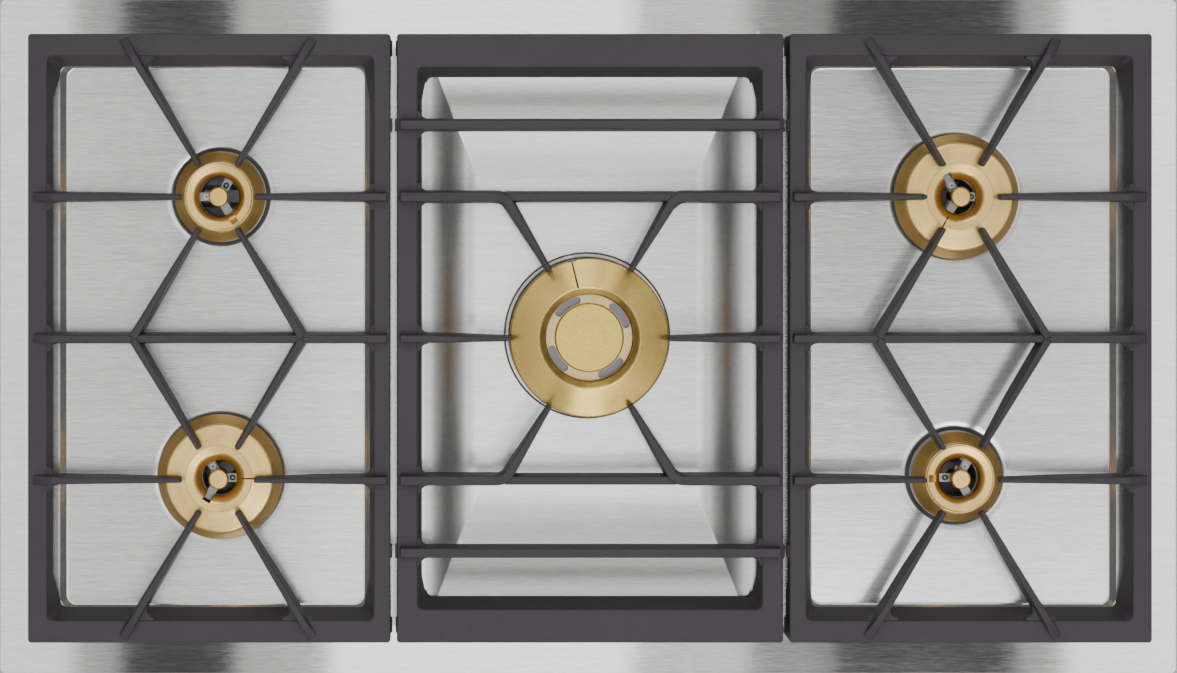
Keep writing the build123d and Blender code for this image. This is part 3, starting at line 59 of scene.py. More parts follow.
SUPPORT_Y, SUPPORT_END, CENTRE_SUPPORT_X, SUPPORT_GAP = 465.0, 24.8, 295.0, 4.9
FRAME_TOP, PAN_PLANE, FOOT_H = 34.0, 43.0, 1.5
FRAME_CORNER_R, INNER_CORNER_R, FRAME_DRAFT_RUN = 2.5, 4.5, 7.0
OUTER_BAR, INNER_BAR, END_BAR = 14.5, 12.7, 16.8
CENTRE_BAR, CENTRE_END_BAR = 15.8, 25.3
RELIEF_START, RELIEF_END, SIDE_BAR_DEPTH = 30.0, 50.0, 13.0
FINGER_W, FINGER_TIP_W, BAR_W, FINGER_DRAFT = 5.9, 3.0, 7.0, 4.5
FINGER_DEPTH, FINGER_TIP_DEPTH = 19.0, 12.0
RAMP_RUN, END_SETBACK, RAMP_SETBACK, TIE_DROP = 15.0, 2.5, 3.8, 1.5
FINGER_ANGLE, SIDE_TIP_R, CENTRE_TIP_R, CENTRE_BAR_Y = 59.0, 27.7, 60.0, 163.0
NUB_W, NUB_T, NUB_H = 10.0, 1.4, 9.0
CAST_CORNER_R, BEND_R, CORNER_OUT, CORNER_SETBACK, CORNER_ROOT = 5.5, 8.0, 1.3, 2.4, 2.5

BURNER_X, BURNER_Y = 284.0, 108.0
WALL, LIFT_GAP, CAP_H, STUD_PROUD, WAIST = 2.2, 0.3, 4.5, 6.0, 5.0
HUB_DROP, STRUT_W = 5.5, 6.6
PORT_W, PORT_H, POCKET, POCKET_TILT = 1.6, 5.0, 6.6, -26.0
SLIT_W, SLIT_DEPTH, NOTCH_W, NOTCH_DEPTH = 1.2, 3.0, 5.0, 1.6
SEAT_W, CAP_CHAMFER, CAP_FALL, LEAD_IN, NECK_H = 0.8, 2.2, 1.2, 4.0, 4.0
STUD_HEAD_H, STUD_CHAMFER, CROWN_R, BROAD_CAP_R = 8.0, 0.8, 25.4, 35.0
PIN_R, CERAMIC_R, PROBE_R, PROBE_TIP_R, PROBE_AXIS_R, PROBE_BOTTOM = 0.9, 2.5, 2.2, 1.4, 10.0, -34.0

WOK_DIMPLE_R, WOK_CAP_R, WOK_CREST_R, WOK_BORE_R = 65.0, 61.0, 38.9, 33.8
WOK_EDGE_Z, WOK_CREST_Z, WOK_CAP_EDGE, WOK_BODY_R, WOK_SHOULDER_Z = 20.0, 26.0, 3.0, 53.0, 4.0
WOK_PORTS, WOK_PORT_H, WOK_FLOOR_Z, WOK_DISC_R, WOK_DISC_T = 40, 6.0, 16.0, 26.5, 2.4
WOK_SLOT_R, WOK_SLOT_W, WOK_SLOT_ARC = 29.9, 5.8, 44.0
WOK_SLOTS_AT = (36.0, 124.5, 214.0, 305.0)
SLOT_BED_R, SLOT_BED_BOTTOM, SLOT_BED_TOP = 26.0, 5.2, 3.6
WOK_CUP_BOTTOM, WOK_NOTCH_AT, WOK_PROBE_AT, WOK_PROBE_AXIS_R = -36.0, 103.0, 20.0, 56.5
WOK_COLLAR_R = 36.4

FLOOR_Z, FLOOR_HALF = -69.0, 4000.0
CEILING, KEY_HEIGHT, KEY_RADIANCE = 3.0, 8.0, 25.0     # heights in metres above the plate

CENTRE_EDGE_X = CENTRE_SUPPORT_X / 2
SIDE_LOW_X = CENTRE_EDGE_X + SUPPORT_GAP
SIDE_HIGH_X = PLATE_X / 2 - SUPPORT_END
HALF_SUPPORT_Y = SUPPORT_Y / 2
SUPPORT_BASE = RIM_TOP + FOOT_H


class Burner:
    """One outer burner: radii from its axis, heights above the rim's top."""

    def __init__(self, name, x, y, kind, struts, electrode_at, pocket_at, slit_at):
        self.name, self.x, self.y = name, x, y
        self.dimple_r, self.ring_r, self.cap_r, self.bore_r = kind[:4]
        self.edge_z, self.cap_top, self.stud_r, self.ports = kind[4:]
        self.struts, self.electrode_at = struts, electrode_at
        self.pocket_at, self.slit_at = pocket_at, slit_at
        self.seat_z = self.cap_top - CAP_H
        self.stud_top = self.cap_top + STUD_PROUD
        self.hub_z = self.seat_z - HUB_DROP
        self.waist_r = self.ring_r - WAIST
        self.collar_r = self.bore_r + WALL / 2 + LIFT_GAP

    def probes(self):
        """Places of the electrode and the thermocouple from the burner's axis."""
        other = [angle for angle in self.struts if angle != self.electrode_at][0]
        return polar(PROBE_AXIS_R, self.electrode_at), polar(PROBE_AXIS_R, other)


def polar(radius, angle):
    return radius * cos(radians(angle)), radius * sin(radians(angle))


SMALL = (40.3, 34.9, 27.4, 15.3, 3.5, 20.0, 7.4, 18)
MEDIUM = (50.4, 48.15, 42.05, 13.6, 2.0, 20.0, 7.5, 20)
BURNERS = [
    Burner("back_left", -BURNER_X, BURNER_Y, SMALL, (60, 180, 300), 180, 302, None),
    Burner("front_left", -BURNER_X, -BURNER_Y, MEDIUM, (0, 120, 240), 120, 240, 0),
    Burner("back_right", BURNER_X, BURNER_Y, MEDIUM, (0, 120, 240), 120, 120, 240),
    Burner("front_right", BURNER_X, -BURNER_Y, SMALL, (60, 180, 300), 60, 180, None),
]


# ------------------------------------------------------------------ finishes

class Wire:
    """Output of a shader node. Sums on it add Math nodes."""

    def __init__(self, finish, socket):
        self.finish, self.socket = finish, socket

    def sum(self, operation, first, second):
        return self.finish.node("ShaderNodeMath", {"operation": operation}, {0: first, 1: second})

    def __add__(self, other):
        return self.sum("ADD", self, other)

    def __sub__(self, other):
        return self.sum("SUBTRACT", self, other)

    def __rsub__(self, other):
        return self.sum("SUBTRACT", other, self)

    def __mul__(self, other):
        return self.sum("MULTIPLY", self, other)

    def __truediv__(self, other):
        return self.sum("DIVIDE", self, other)

    __radd__ = __add__
    __rmul__ = __mul__


class Finish:
    """One material: its nodes and the shader that they feed."""

    def __init__(self, name, colour, roughness, metallic=0.0, **fixed):
        self.material = bpy.data.materials.new(name)
        self.material.use_nodes = True
        self.material.diffuse_color = (*colour, 1)
        self.tree = self.material.node_tree
        self.shader = self.tree.nodes["Principled BSDF"]
        self.set(**{"Base Color": (*colour, 1), "Roughness": roughness, "Metallic": metallic}, **fixed)

    def feed(self, socket, value):
        if isinstance(value, Wire):
            self.tree.links.new(value.socket, socket)
        else:
            socket.default_value = value

    def set(self, **values):
        for name, value in values.items():
            self.feed(self.shader.inputs[name.replace("_", " ")], value)

    def node(self, kind, settings=None, values=None, output=0):
        made = self.tree.nodes.new(kind)
        for name, value in (settings or {}).items():
            setattr(made, name, value)
        for name, value in (values or {}).items():
            self.feed(made.inputs[name], value)
        return Wire(self, made.outputs[output])

    def place(self, stretch=(1, 1, 1), centre=(0, 0, 0)):
        """Object coordinates in metres, moved to a centre and stretched."""
        here = self.node("ShaderNodeTexCoord", output="Object")
        moved = self.node("ShaderNodeVectorMath", {"operation": "SUBTRACT"}, {0: here, 1: centre})
        return self.node("ShaderNodeVectorMath", {"operation": "MULTIPLY"}, {0: moved, 1: stretch})

    def noise(self, at, size, detail=3.0, rough=0.5):
        """Noise from 0 to 1 whose patches are about size millimetres."""
        return self.node("ShaderNodeTexNoise", {}, {
            "Vector": at, "Scale": 1 / (size * MM), "Detail": detail, "Roughness": rough})

    def ramp(self, value, low, high, out_low=0.0, out_high=1.0):
        return self.node("ShaderNodeMapRange", {"clamp": True}, {
            0: value, 1: low, 2: high, 3: out_low, 4: out_high})

    def mix(self, share, first, second):
        """Colour between two colours."""
        first, second = [c if isinstance(c, Wire) else (*c, 1) for c in (first, second)]
        return self.node("ShaderNodeMix", {"data_type": "RGBA"}, {0: share, 6: first, 7: second}, output=2)

    def bump(self, height, millimetres, strength=1.0):
        self.set(Normal=self.node("ShaderNodeBump", {}, {
            "Height": height, "Strength": strength, "Distance": millimetres * MM}))

    def length(self, vector):
        return self.node("ShaderNodeVectorMath", {"operation": "LENGTH"}, {0: vector}, output="Value")


def brushed(name, colour):
    """Brushed sheet: short fine lines along X, smooth outer margin, satin recesses, matt basin ends."""
    steel = Finish(name, colour, 0.3, 1.0)
    here = steel.place()
    lines = steel.noise(steel.place((0.07, 1, 1)), 0.8, 3.0, 0.7)
    streaks = steel.noise(steel.place((0.03, 1, 1)), 4.5, 3.0, 0.6)
    patches = steel.noise(here, 80.0, 2.0)
    tone = lines * 0.65 + streaks * 0.2 + patches * 0.15
    dark = [c * 0.80 for c in colour]
    light = [min(1.0, c * 1.14) for c in colour]
    steel.set(**{"Base Color": steel.mix(steel.ramp(tone, 0.34, 0.66), dark, light)})
    across, along = [steel.node("ShaderNodeMath", {"operation": "ABSOLUTE"}, {
        0: steel.node("ShaderNodeSeparateXYZ", {}, {0: here}, output=axis)}) for axis in "XY"]
    margin = steel.node("ShaderNodeMath", {"operation": "MAXIMUM"}, {
        0: steel.ramp(across, 0.419, 0.423), 1: steel.ramp(along, 0.222, 0.226)})
    in_basin = 1 - steel.ramp(across, (BASIN_HALF_X + 3) * MM, (SIDE_INNER_X - 3) * MM)
    down_side = (across - BASIN_FLOOR_X * MM) / ((BASIN_HALF_X - BASIN_FLOOR_X) * MM)
    down_end = (along - BASIN_FLOOR_Y * MM) / ((BASIN_HALF_Y - BASIN_FLOOR_Y) * MM)
    ends = steel.ramp(down_end - down_side, -0.03, 0.03) * steel.ramp(down_end, -0.06, 0.1) * in_basin
    sides = steel.ramp(down_side - down_end, -0.03, 0.03) * steel.ramp(down_side, -0.06, 0.1) * in_basin
    satin = ends * 0.15 + sides * 0.07 + 0.24
    steel.set(Roughness=satin + margin * (0.055 - satin) + steel.ramp(tone, 0.3, 0.7, -0.02, 0.02))
    steel.set(Metallic=1 - (1 - margin) * (0.10 + ends * 0.06))
    steel.bump(lines, 0.003)
    return steel


def cast_iron():
    """Matt enamelled cast iron: even dark coat over a fine sand-cast grain."""
    iron = Finish("cast_iron", (0.075, 0.068, 0.076), 0.62, 0.0, **{"Specular IOR Level": 0.45})
    grain = iron.noise(iron.place(), 0.9, 3.0, 0.6)
    hollows = iron.noise(iron.place(), 3.5, 2.0)
    patches = iron.noise(iron.place(), 60.0, 3.0)
    tone = patches * 0.6 + hollows * 0.4
    dark, light = (0.062, 0.055, 0.063), (0.078, 0.070, 0.079)
    iron.set(**{"Base Color": iron.mix(iron.ramp(tone, 0.3, 0.7), dark, light)})
    iron.set(Roughness=iron.ramp(grain, 0.3, 0.7, 0.55, 0.7))
    iron.bump(grain * 0.6 + hollows * 0.4, 0.10)
    return iron


def turned_brass(name, colour, roughness, anisotropic=0.0, grain=0.0, heat=0.25):
    """Brass turned on a lathe, its grooves about each piece's own axis, or a grainy cast face."""
    brass = Finish(name, colour, roughness, 1.0, Anisotropic=anisotropic, Anisotropic_Rotation=0.25)
    from_axis = brass.node("ShaderNodeAttribute", {"attribute_name": "from_axis"}, output="Vector")
    flat = brass.node("ShaderNodeVectorMath", {"operation": "MULTIPLY"}, {0: from_axis, 1: (1, 1, 0)})
    radius = brass.length(flat)
    rings = brass.noise(brass.node("ShaderNodeCombineXYZ", {}, {0: radius}), 0.45, 3.0, 0.8)
    broad = brass.noise(brass.node("ShaderNodeCombineXYZ", {}, {0: radius}), 5.0, 2.0)
    stain = brass.noise(brass.place(), 14.0, 4.0, 0.6)
    speck = brass.noise(brass.place(), 1.5, 4.0, 0.7)
    fine = rings * (1 - grain) + speck * grain
    tone = fine * (0.35 + 0.3 * grain) + broad * (0.3 - 0.2 * grain) + stain * (0.35 - 0.1 * grain)
    dark = [c * (1 - heat) for c in colour]
    light = [min(1.0, c * 1.1) for c in colour]
    brass.set(**{"Base Color": brass.mix(brass.ramp(tone, 0.34, 0.66), dark, light)})
    brass.set(Roughness=brass.ramp(stain * 0.6 + rings * 0.4, 0.3, 0.7, roughness - 0.06, roughness + 0.07))
    brass.bump(fine, 0.015 + 0.06 * grain)
    return brass


def cast_metal(name, colour, roughness, metallic=1.0, grain=1.2, height=0.05, spread=0.15):
    """Die-cast, machined or plated metal with a fine grain."""
    metal = Finish(name, colour, roughness, metallic)
    fine = metal.noise(metal.place(), grain, 3.0, 0.6)
    broad = metal.noise(metal.place(), 25.0, 3.0)
    dark, light = [c * (1 - spread) for c in colour], [min(1.0, c * (1 + spread)) for c in colour]
    metal.set(**{"Base Color": metal.mix(metal.ramp(fine * 0.4 + broad * 0.6, 0.3, 0.7), dark, light)})
    metal.set(Roughness=metal.ramp(fine, 0.3, 0.7, roughness - 0.06, roughness + 0.06))
    metal.bump(fine, height)
    return metal


def soft_rubber(name, colour):
    rubber = Finish(name, colour, 0.8)
    pores = rubber.noise(rubber.place(), 0.8, 3.0)
    broad = rubber.noise(rubber.place(), 12.0, 3.0)
    rubber.set(**{"Base Color": rubber.mix(broad, [c * 0.75 for c in colour], [c * 1.25 for c in colour])})
    rubber.set(Roughness=rubber.ramp(pores, 0.3, 0.7, 0.72, 0.9))
    rubber.bump(pores, 0.15)
    return rubber


plate_steel = brushed("plate_steel", (0.76, 0.755, 0.74))
tray_steel = cast_metal("tray_steel", (0.56, 0.57, 0.58), 0.42, grain=14.0, height=0.01, spread=0.1)
iron = cast_iron()
foot_rubber = soft_rubber("foot_rubber", (0.09, 0.1, 0.085))
seal_foam = soft_rubber("seal_foam", (0.05, 0.05, 0.05))
cap_brass = turned_brass("cap_brass", (1.0, 0.65, 0.23), 0.31, anisotropic=0.5)
ring_brass = turned_brass("ring_brass", (0.95, 0.60, 0.19), 0.42)
wok_brass = turned_brass("wok_brass", (0.71, 0.49, 0.145), 0.28, anisotropic=0.85, heat=0.1)
floor_brass = turned_brass("floor_brass", (0.68, 0.52, 0.27), 0.42, grain=0.5)
disc_brass = turned_brass("disc_brass", (0.86, 0.61, 0.15), 0.42, grain=0.9, heat=0.35)
stud_brass = turned_brass("stud_brass", (0.90, 0.57, 0.17), 0.34)
fitting_brass = cast_metal("fitting_brass", (0.70, 0.54, 0.27), 0.32)
cup_metal = cast_metal("cup_metal", (0.29, 0.29, 0.30), 0.46)
pipe_metal = cast_metal("pipe_metal", (0.68, 0.69, 0.70), 0.36, grain=3.0, height=0.01)
slot_grey = cast_metal("slot_grey", (0.31, 0.30, 0.36), 0.55, 0.6, grain=2.0, height=0.02)
pin_steel = cast_metal("pin_steel", (0.22, 0.22, 0.23), 0.5, grain=0.8, height=0.01)
turned_steel = cast_metal("turned_steel", (0.62, 0.62, 0.63), 0.26, grain=0.8, height=0.01)
screw_zinc = cast_metal("screw_zinc", (0.60, 0.61, 0.63), 0.3, grain=0.8, height=0.01)
white_ceramic = cast_metal("white_ceramic", (0.93, 0.92, 0.89), 0.45, 0.0, grain=0.6, height=0.02,
                           spread=0.06)
module_plastic = cast_metal("module_plastic", (0.80, 0.80, 0.77), 0.5, 0.0, grain=0.6, height=0.03,
                            spread=0.03)


# ------------------------------------------------------------------ forms

class Form:
    """Points and faces of a piece, in millimetres."""

    def __init__(self):
        self.points, self.faces = [], []

    def loop(self, points):
        start = len(self.points)
        self.points += [tuple(p) for p in points]
        return list(range(start, start + len(points)))

    def skin(self, loops, closed=True):
        """Faces between each loop of points and the next; returns the loops' numbers."""
        rows = [self.loop(points) for points in loops]
        for low, high in zip(rows, rows[1:]):
            count = len(low) if closed else len(low) - 1
            for i in range(count):
                j = (i + 1) % len(low)
                self.faces.append((low[i], low[j], high[j], high[i]))
        return rows

    def fill(self, *outlines):
        """Flat face bounded by an outline, with holes."""
        start = len(self.points)
        for points in outlines:
            self.points += [tuple(p) for p in points]
        for face in tessellate_polygon([[Vector(p) for p in points] for points in outlines]):
            self.faces.append(tuple(start + i for i in face))

    def add(self, other, move=(0, 0, 0)):
        start = len(self.points)
        self.points += [tuple(a + b for a, b in zip(p, move)) for p in other.points]
        self.faces += [tuple(start + i for i in face) for face in other.faces]
        return self


def shaped(form, name, merge=0.01):
    """Object of a form, doubles merged and faces outwards."""
    mesh = bpy.data.meshes.new(name)
    mesh.from_pydata([Vector(p) * MM for p in form.points], [], form.faces)
    body = bmesh.new()
    body.from_mesh(mesh)
    bmesh.ops.remove_doubles(body, verts=body.verts, dist=merge * MM)
    bmesh.ops.recalc_face_normals(body, faces=body.faces)
    body.to_mesh(mesh)
    body.free()
    made = bpy.data.objects.new(name, mesh)
    bpy.context.scene.collection.objects.link(made)
    return made


def baked(made):
    """Applies an object's modifiers to its mesh."""
    made.update_tag()
    bpy.context.view_layer.update()
    graph = bpy.context.evaluated_depsgraph_get()
    mesh = bpy.data.meshes.new_from_object(made.evaluated_get(graph))
    made.modifiers.clear()
    made.data = mesh
    return made


def cut(made, cutters):
    """Takes the cutters' shapes out of an object."""
    if not cutters:
        return made
    for cutter in cutters:
        step = made.modifiers.new("cut", "BOOLEAN")
        step.operation, step.solver, step.object = "DIFFERENCE", "EXACT", cutter
    baked(made)
    for cutter in cutters:
        bpy.data.objects.remove(cutter)
    return made


def finished(made, finish, body, nodes=(), axis=(0, 0), sharp=32):
    """Smooths, paints and hangs a piece on its body, in place of its CAD nodes."""
    mesh = made.data
    mesh.polygons.foreach_set("use_smooth", [True] * len(mesh.polygons))
    mesh.set_sharp_from_angle(angle=radians(sharp))
    from_axis = mesh.attributes.new("from_axis", "FLOAT_VECTOR", "POINT")
    for vertex in mesh.vertices:
        from_axis.data[vertex.index].vector = vertex.co - Vector((axis[0] * MM, axis[1] * MM, 0))
    mesh.materials.clear()
    mesh.materials.append(finish.material)
    for polygon in mesh.polygons:
        polygon.material_index = 0
    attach(made, body)
    if nodes:
        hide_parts(*nodes)
    return made


def softened(points, radius, closed=True, guard=0.25, steps=3):
    """Outline with rounded corners, and a guard point beyond each rounding on its straight side."""
    made, count = [], len(points)
    for i, point in enumerate(points):
        if not closed and i in (0, count - 1):
            made.append(point)
            continue
        here = Vector(point)
        before, after = Vector(points[i - 1]) - here, Vector(points[(i + 1) % count]) - here
        if before.length < 1e-6 or after.length < 1e-6:
            continue
        on_axis = abs(point[0]) < 1e-6
        turn = before.angle(-after) if before.length and after.length else 0
        if on_axis or turn < radians(8):
            made.append(point)
            continue
        reach = min(radius, 0.4 * before.length, 0.4 * after.length)
        start, end = here + before.normalized() * reach, here + after.normalized() * reach
        edge = min(guard, 0.1 * before.length, 0.1 * after.length)
        made.append(tuple(start + before.normalized() * edge))
        for k in range(steps + 1):
            t = k / steps
            made.append(tuple(start * (1 - t) ** 2 + here * 2 * t * (1 - t) + end * t ** 2))
        made.append(tuple(end + after.normalized() * edge))
    return made


def turned(outline, at=(0, 0, 0), steps=96):
    """Form turned about an upright axis from a closed outline of (radius, height) points."""
    form = Form()
    rows = []
    for radius, z in outline:
        if radius < 1e-6:
            rows.append(form.loop([(at[0], at[1], at[2] + z)]))
        else:
            rows.append(form.loop(circle(at, radius, at[2] + z, steps)))
    for low, high in zip(rows, rows[1:] + rows[:1]):
        if len(low) == 1 and len(high) == 1:
            continue
        for k in range(steps):
            n = (k + 1) % steps
            face = [low[k % len(low)], low[n % len(low)], high[n % len(high)], high[k % len(high)]]
            form.faces.append(tuple(dict.fromkeys(face)))
    return form


def block(size, at, turn=0.0, tilt=0.0):
    """Box of a size, turned about Z and tilted, as a form."""
    spin = Matrix.Rotation(radians(turn), 3, "Z") @ Matrix.Rotation(radians(tilt), 3, "Y")
    half = [s / 2 for s in size]
    outline = ((-half[0], -half[1]), (half[0], -half[1]), (half[0], half[1]), (-half[0], half[1]))
    corners = [Vector((x, y, z)) for z in (-half[2], half[2]) for x, y in outline]
    form = Form()
    form.loop([tuple(spin @ c + Vector(at)) for c in corners])
    form.faces = [(3, 2, 1, 0), (4, 5, 6, 7), (0, 1, 5, 4), (1, 2, 6, 5), (2, 3, 7, 6), (3, 0, 4, 7)]
    return form


def block_on_radius(burner_at, radius, angle, size, z):
    x, y = polar(radius, angle)
    return block(size, (burner_at[0] + x, burner_at[1] + y, z), angle)


def groove(burner_at, angle, inner, outer):
    """Fine V-shaped slit along a radius, between two (radius, height) points, as a form."""
    across, above = polar(SLIT_W / 2 * (SLIT_DEPTH + 1) / SLIT_DEPTH, angle + 90), 1.0
    rows = []
    for radius, z in (inner, outer):
        x, y = polar(radius, angle)
        x, y = burner_at[0] + x, burner_at[1] + y
        rows.append([(x - across[0], y - across[1], z + above), (x + across[0], y + across[1], z + above),
                     (x, y, z - SLIT_DEPTH)])
    form = Form()
    ends = form.skin(rows)
    form.faces += [tuple(reversed(ends[0])), tuple(ends[1])]
    return form


def rounded_rectangle(centre, half_x, half_y, radius, z, steps=6):
    """Outline with the same number of points whatever its size."""
    points = []
    for sign_x, sign_y, start in ((1, 1, 0), (-1, 1, 90), (-1, -1, 180), (1, -1, 270)):
        for k in range(steps + 1):
            x, y = polar(radius, start + 90 * k / steps)
            points.append((centre[0] + sign_x * (half_x - radius) + x,
                           centre[1] + sign_y * (half_y - radius) + y, z))
    return points


def circle(centre, radius, z, steps=96):
    return [(centre[0] + radius * cos(2 * pi * k / steps), centre[1] + radius * sin(2 * pi * k / steps), z)
            for k in range(steps)]


# ------------------------------------------------------------------ top plate

def pressed_plate():
    """The pressed sheet's upper face: folded rim, side recesses, mitred basin, dimples."""
    form = Form()
    half_x, half_y, edge_r = PLATE_X / 2, PLATE_Y / 2, 1.6
    edge = softened([(6.0, RIM_TOP), (0.0, RIM_TOP), (0.0, FOLD_GAP)], edge_r, closed=False, steps=5)
    loops = [rounded_rectangle((0, 0), half_x - inset, half_y - inset, max(PLATE_CORNER_R - inset, 0.3), z)
             for inset, z in edge]
    form.skin(loops)
    openings = [loops[0]]
    side_x, side_half = (SIDE_OUTER_X + SIDE_INNER_X) / 2, (SIDE_OUTER_X - SIDE_INNER_X) / 2
    floor = RIM_TOP - SIDE_DEPTH
    wall = [(-3.0, RIM_TOP), (0.0, RIM_TOP), (SIDE_WALL_RUN, floor), (SIDE_WALL_RUN + 4, floor)]
    wall = softened(wall, 2.0, closed=False, steps=5)
    for sign in (-1, 1):
        loops = [rounded_rectangle((sign * side_x, 0), side_half - inset, SIDE_HALF_Y - inset,
                                   max(SIDE_CORNER_R - inset, 3.0), z, 8) for inset, z in wall]
        form.skin(loops)
        openings.append(loops[0])
        holes = [dimple(form, burner.x, burner.y, floor, burner.dimple_r, burner.waist_r)
                 for burner in BURNERS if burner.x * sign > 0]
        form.fill(loops[-1], *holes)
    loops = basin_loops()
    form.skin(loops)
    openings.append(loops[0])
    form.fill(loops[-1], dimple(form, 0, 0, RIM_TOP - BASIN_DEPTH, WOK_DIMPLE_R, WOK_BODY_R))
    form.fill(*openings)
    return form


def dimple(form, x, y, floor, radius, waist_r):
    """Shallow dish round a burner, with a step down to its hole; returns its outer edge."""
    low, hole = floor - DIMPLE_DEPTH, waist_r + HOLE_CLEARANCE
    run = min(DISH_RUN, radius - hole - 1.0)
    if radius == WOK_DIMPLE_R:
        run = WOK_DISH_RUN
        dish = [(radius + 0.2, floor), (radius - 0.3, floor), (radius - 1.1, floor - WOK_DISH_STEP),
                (radius - run, floor - WOK_DISH_FLOOR)]
    else:
        dish = [(radius + 0.8, floor), (radius - DISH_RIM_RUN, floor - DISH_RIM_DROP),
                (radius - run, floor - run * DISH_SLOPE)]
    path = [(radius + 3.0, floor)] + dish + [(radius - run - 0.6, low), (hole, low)]
    path = softened(path, 0.8, closed=False, steps=4)
    loops = [circle((x, y), r, z) for r, z in path]
    form.skin(loops)
    return loops[0]


def basin_loops():
    """Nested rectangles down the basin's mitred walls, each wall two tangent arcs."""
    run_x, run_y = BASIN_HALF_X - BASIN_FLOOR_X, BASIN_HALF_Y - BASIN_FLOOR_Y
    half = BASIN_DEPTH / 2

    def inset(run, depth):
        radius = (run ** 2 + BASIN_DEPTH ** 2) / (4 * BASIN_DEPTH)
        if depth <= half:
            return sqrt(max(0.0, radius ** 2 - (radius - depth) ** 2))
        return run - sqrt(max(0.0, radius ** 2 - (radius - (BASIN_DEPTH - depth)) ** 2))

    loops = [rounded_rectangle((0, 0), BASIN_HALF_X + 2, BASIN_HALF_Y + 2, BASIN_CORNER_R, RIM_TOP, 3)]
    steps = 26
    for k in range(steps + 1):
        depth = half * (1 - cos(pi * k / steps))
        half_x, half_y = BASIN_HALF_X - inset(run_x, depth), BASIN_HALF_Y - inset(run_y, depth)
        loops.append(rounded_rectangle((0, 0), half_x, half_y, BASIN_CORNER_R, RIM_TOP - depth, 3))
    floor = RIM_TOP - BASIN_DEPTH
    loops.append(rounded_rectangle((0, 0), BASIN_FLOOR_X - 2, BASIN_FLOOR_Y - 2, BASIN_CORNER_R, floor, 3))
    return loops


def make_plate():
    plate = shaped(pressed_plate(), "top_plate_pressed")
    probes = [turned([(0, -30), (r + HOLE_CLEARANCE, -30), (r + HOLE_CLEARANCE, 0), (0, 0)],
                     (*polar(WOK_PROBE_AXIS_R, angle), 0), 24)
              for r, angle in ((CERAMIC_R, WOK_NOTCH_AT), (PROBE_R, WOK_PROBE_AT))]
    skin = plate.modifiers.new("sheet", "SOLIDIFY")
    skin.thickness, skin.offset, skin.use_even_offset = SHEET * MM, -1, True
    baked(plate)
    cut(plate, [shaped(p, "drill") for p in probes])
    finished(plate, plate_steel, "chassis", ["top_plate"], sharp=40)


# ------------------------------------------------------------------ pan supports

def swept_bar(path, widths, tops, bottoms, tip=True, radius=0.9):
    """Drafted cast bar along a line of points; its free end is round where tip is set."""
    lengths = [0.0]
    for a, b in zip(path, path[1:]):
        lengths.append(lengths[-1] + hypot(b[0] - a[0], b[1] - a[1]))
    total = lengths[-1]

    def between(values, s):
        for i in range(len(lengths) - 1):
            if s <= lengths[i + 1] + 1e-9:
                t = (s - lengths[i]) / (lengths[i + 1] - lengths[i])
                return [a + (b - a) * t for a, b in zip(values[i], values[i + 1])]
        return list(values[-1])

    stations = list(lengths)
    end_r = widths[-1] / 2
    round_from = total - end_r
    if tip:
        stations = [s for s in stations if s < round_from - 0.5]
        stations += [round_from + end_r * sin(radians(a)) for a in (0, 20, 40, 60, 75, 86)]
    values = list(zip(widths, tops, bottoms))
    points = [Vector(p) for p in path]
    loops = []
    for s in stations:
        width, top, bottom = between(values, min(s, total))
        x, y = between(path, min(s, total))
        half = width / 2
        if tip and s > round_from:
            half = end_r * sqrt(max(0.0, 1 - ((s - round_from) / end_r) ** 2)) + 0.05
            top -= radius * 0.5 * ((s - round_from) / end_r) ** 3
        segment = next((i for i in range(len(lengths) - 1) if s <= lengths[i + 1] + 1e-9), len(lengths) - 2)
        along = (points[segment + 1] - points[segment]).normalized()
        if any(abs(s - n) < 1e-6 for n in lengths[1:-1]) and segment + 2 < len(points):
            along = (along + (points[segment + 2] - points[segment + 1]).normalized()).normalized()
        side = Vector((-along.y, along.x))
        lean = tan(radians(FINGER_DRAFT))
        rim = min(radius, half * 0.6)

        def at(offset, z):
            return (x + side.x * offset, y + side.y * offset, z)

        wide = half + (PAN_PLANE - bottom) * lean
        high = half + (PAN_PLANE - top + rim) * lean
        rounding = [(rim * (1 - cos(radians(a))), top - rim + rim * sin(radians(a))) for a in (30, 60, 90)]
        guard = min(0.25, half * 0.2)
        section = [at(-wide, bottom), at(-high, top - rim - 0.2), at(-high, top - rim)]
        section += [at(-high + inwards, z) for inwards, z in rounding]
        section += [at(-high + rim + guard, top), at(high - rim - guard, top)]
        section += [at(high - inwards, z) for inwards, z in reversed(rounding)]
        section += [at(high, top - rim), at(high, top - rim - 0.2), at(wide, bottom)]
        loops.append(section)
    form = Form()
    rows = form.skin(loops)
    form.faces += [tuple(reversed(rows[0])), tuple(rows[-1])]
    return form


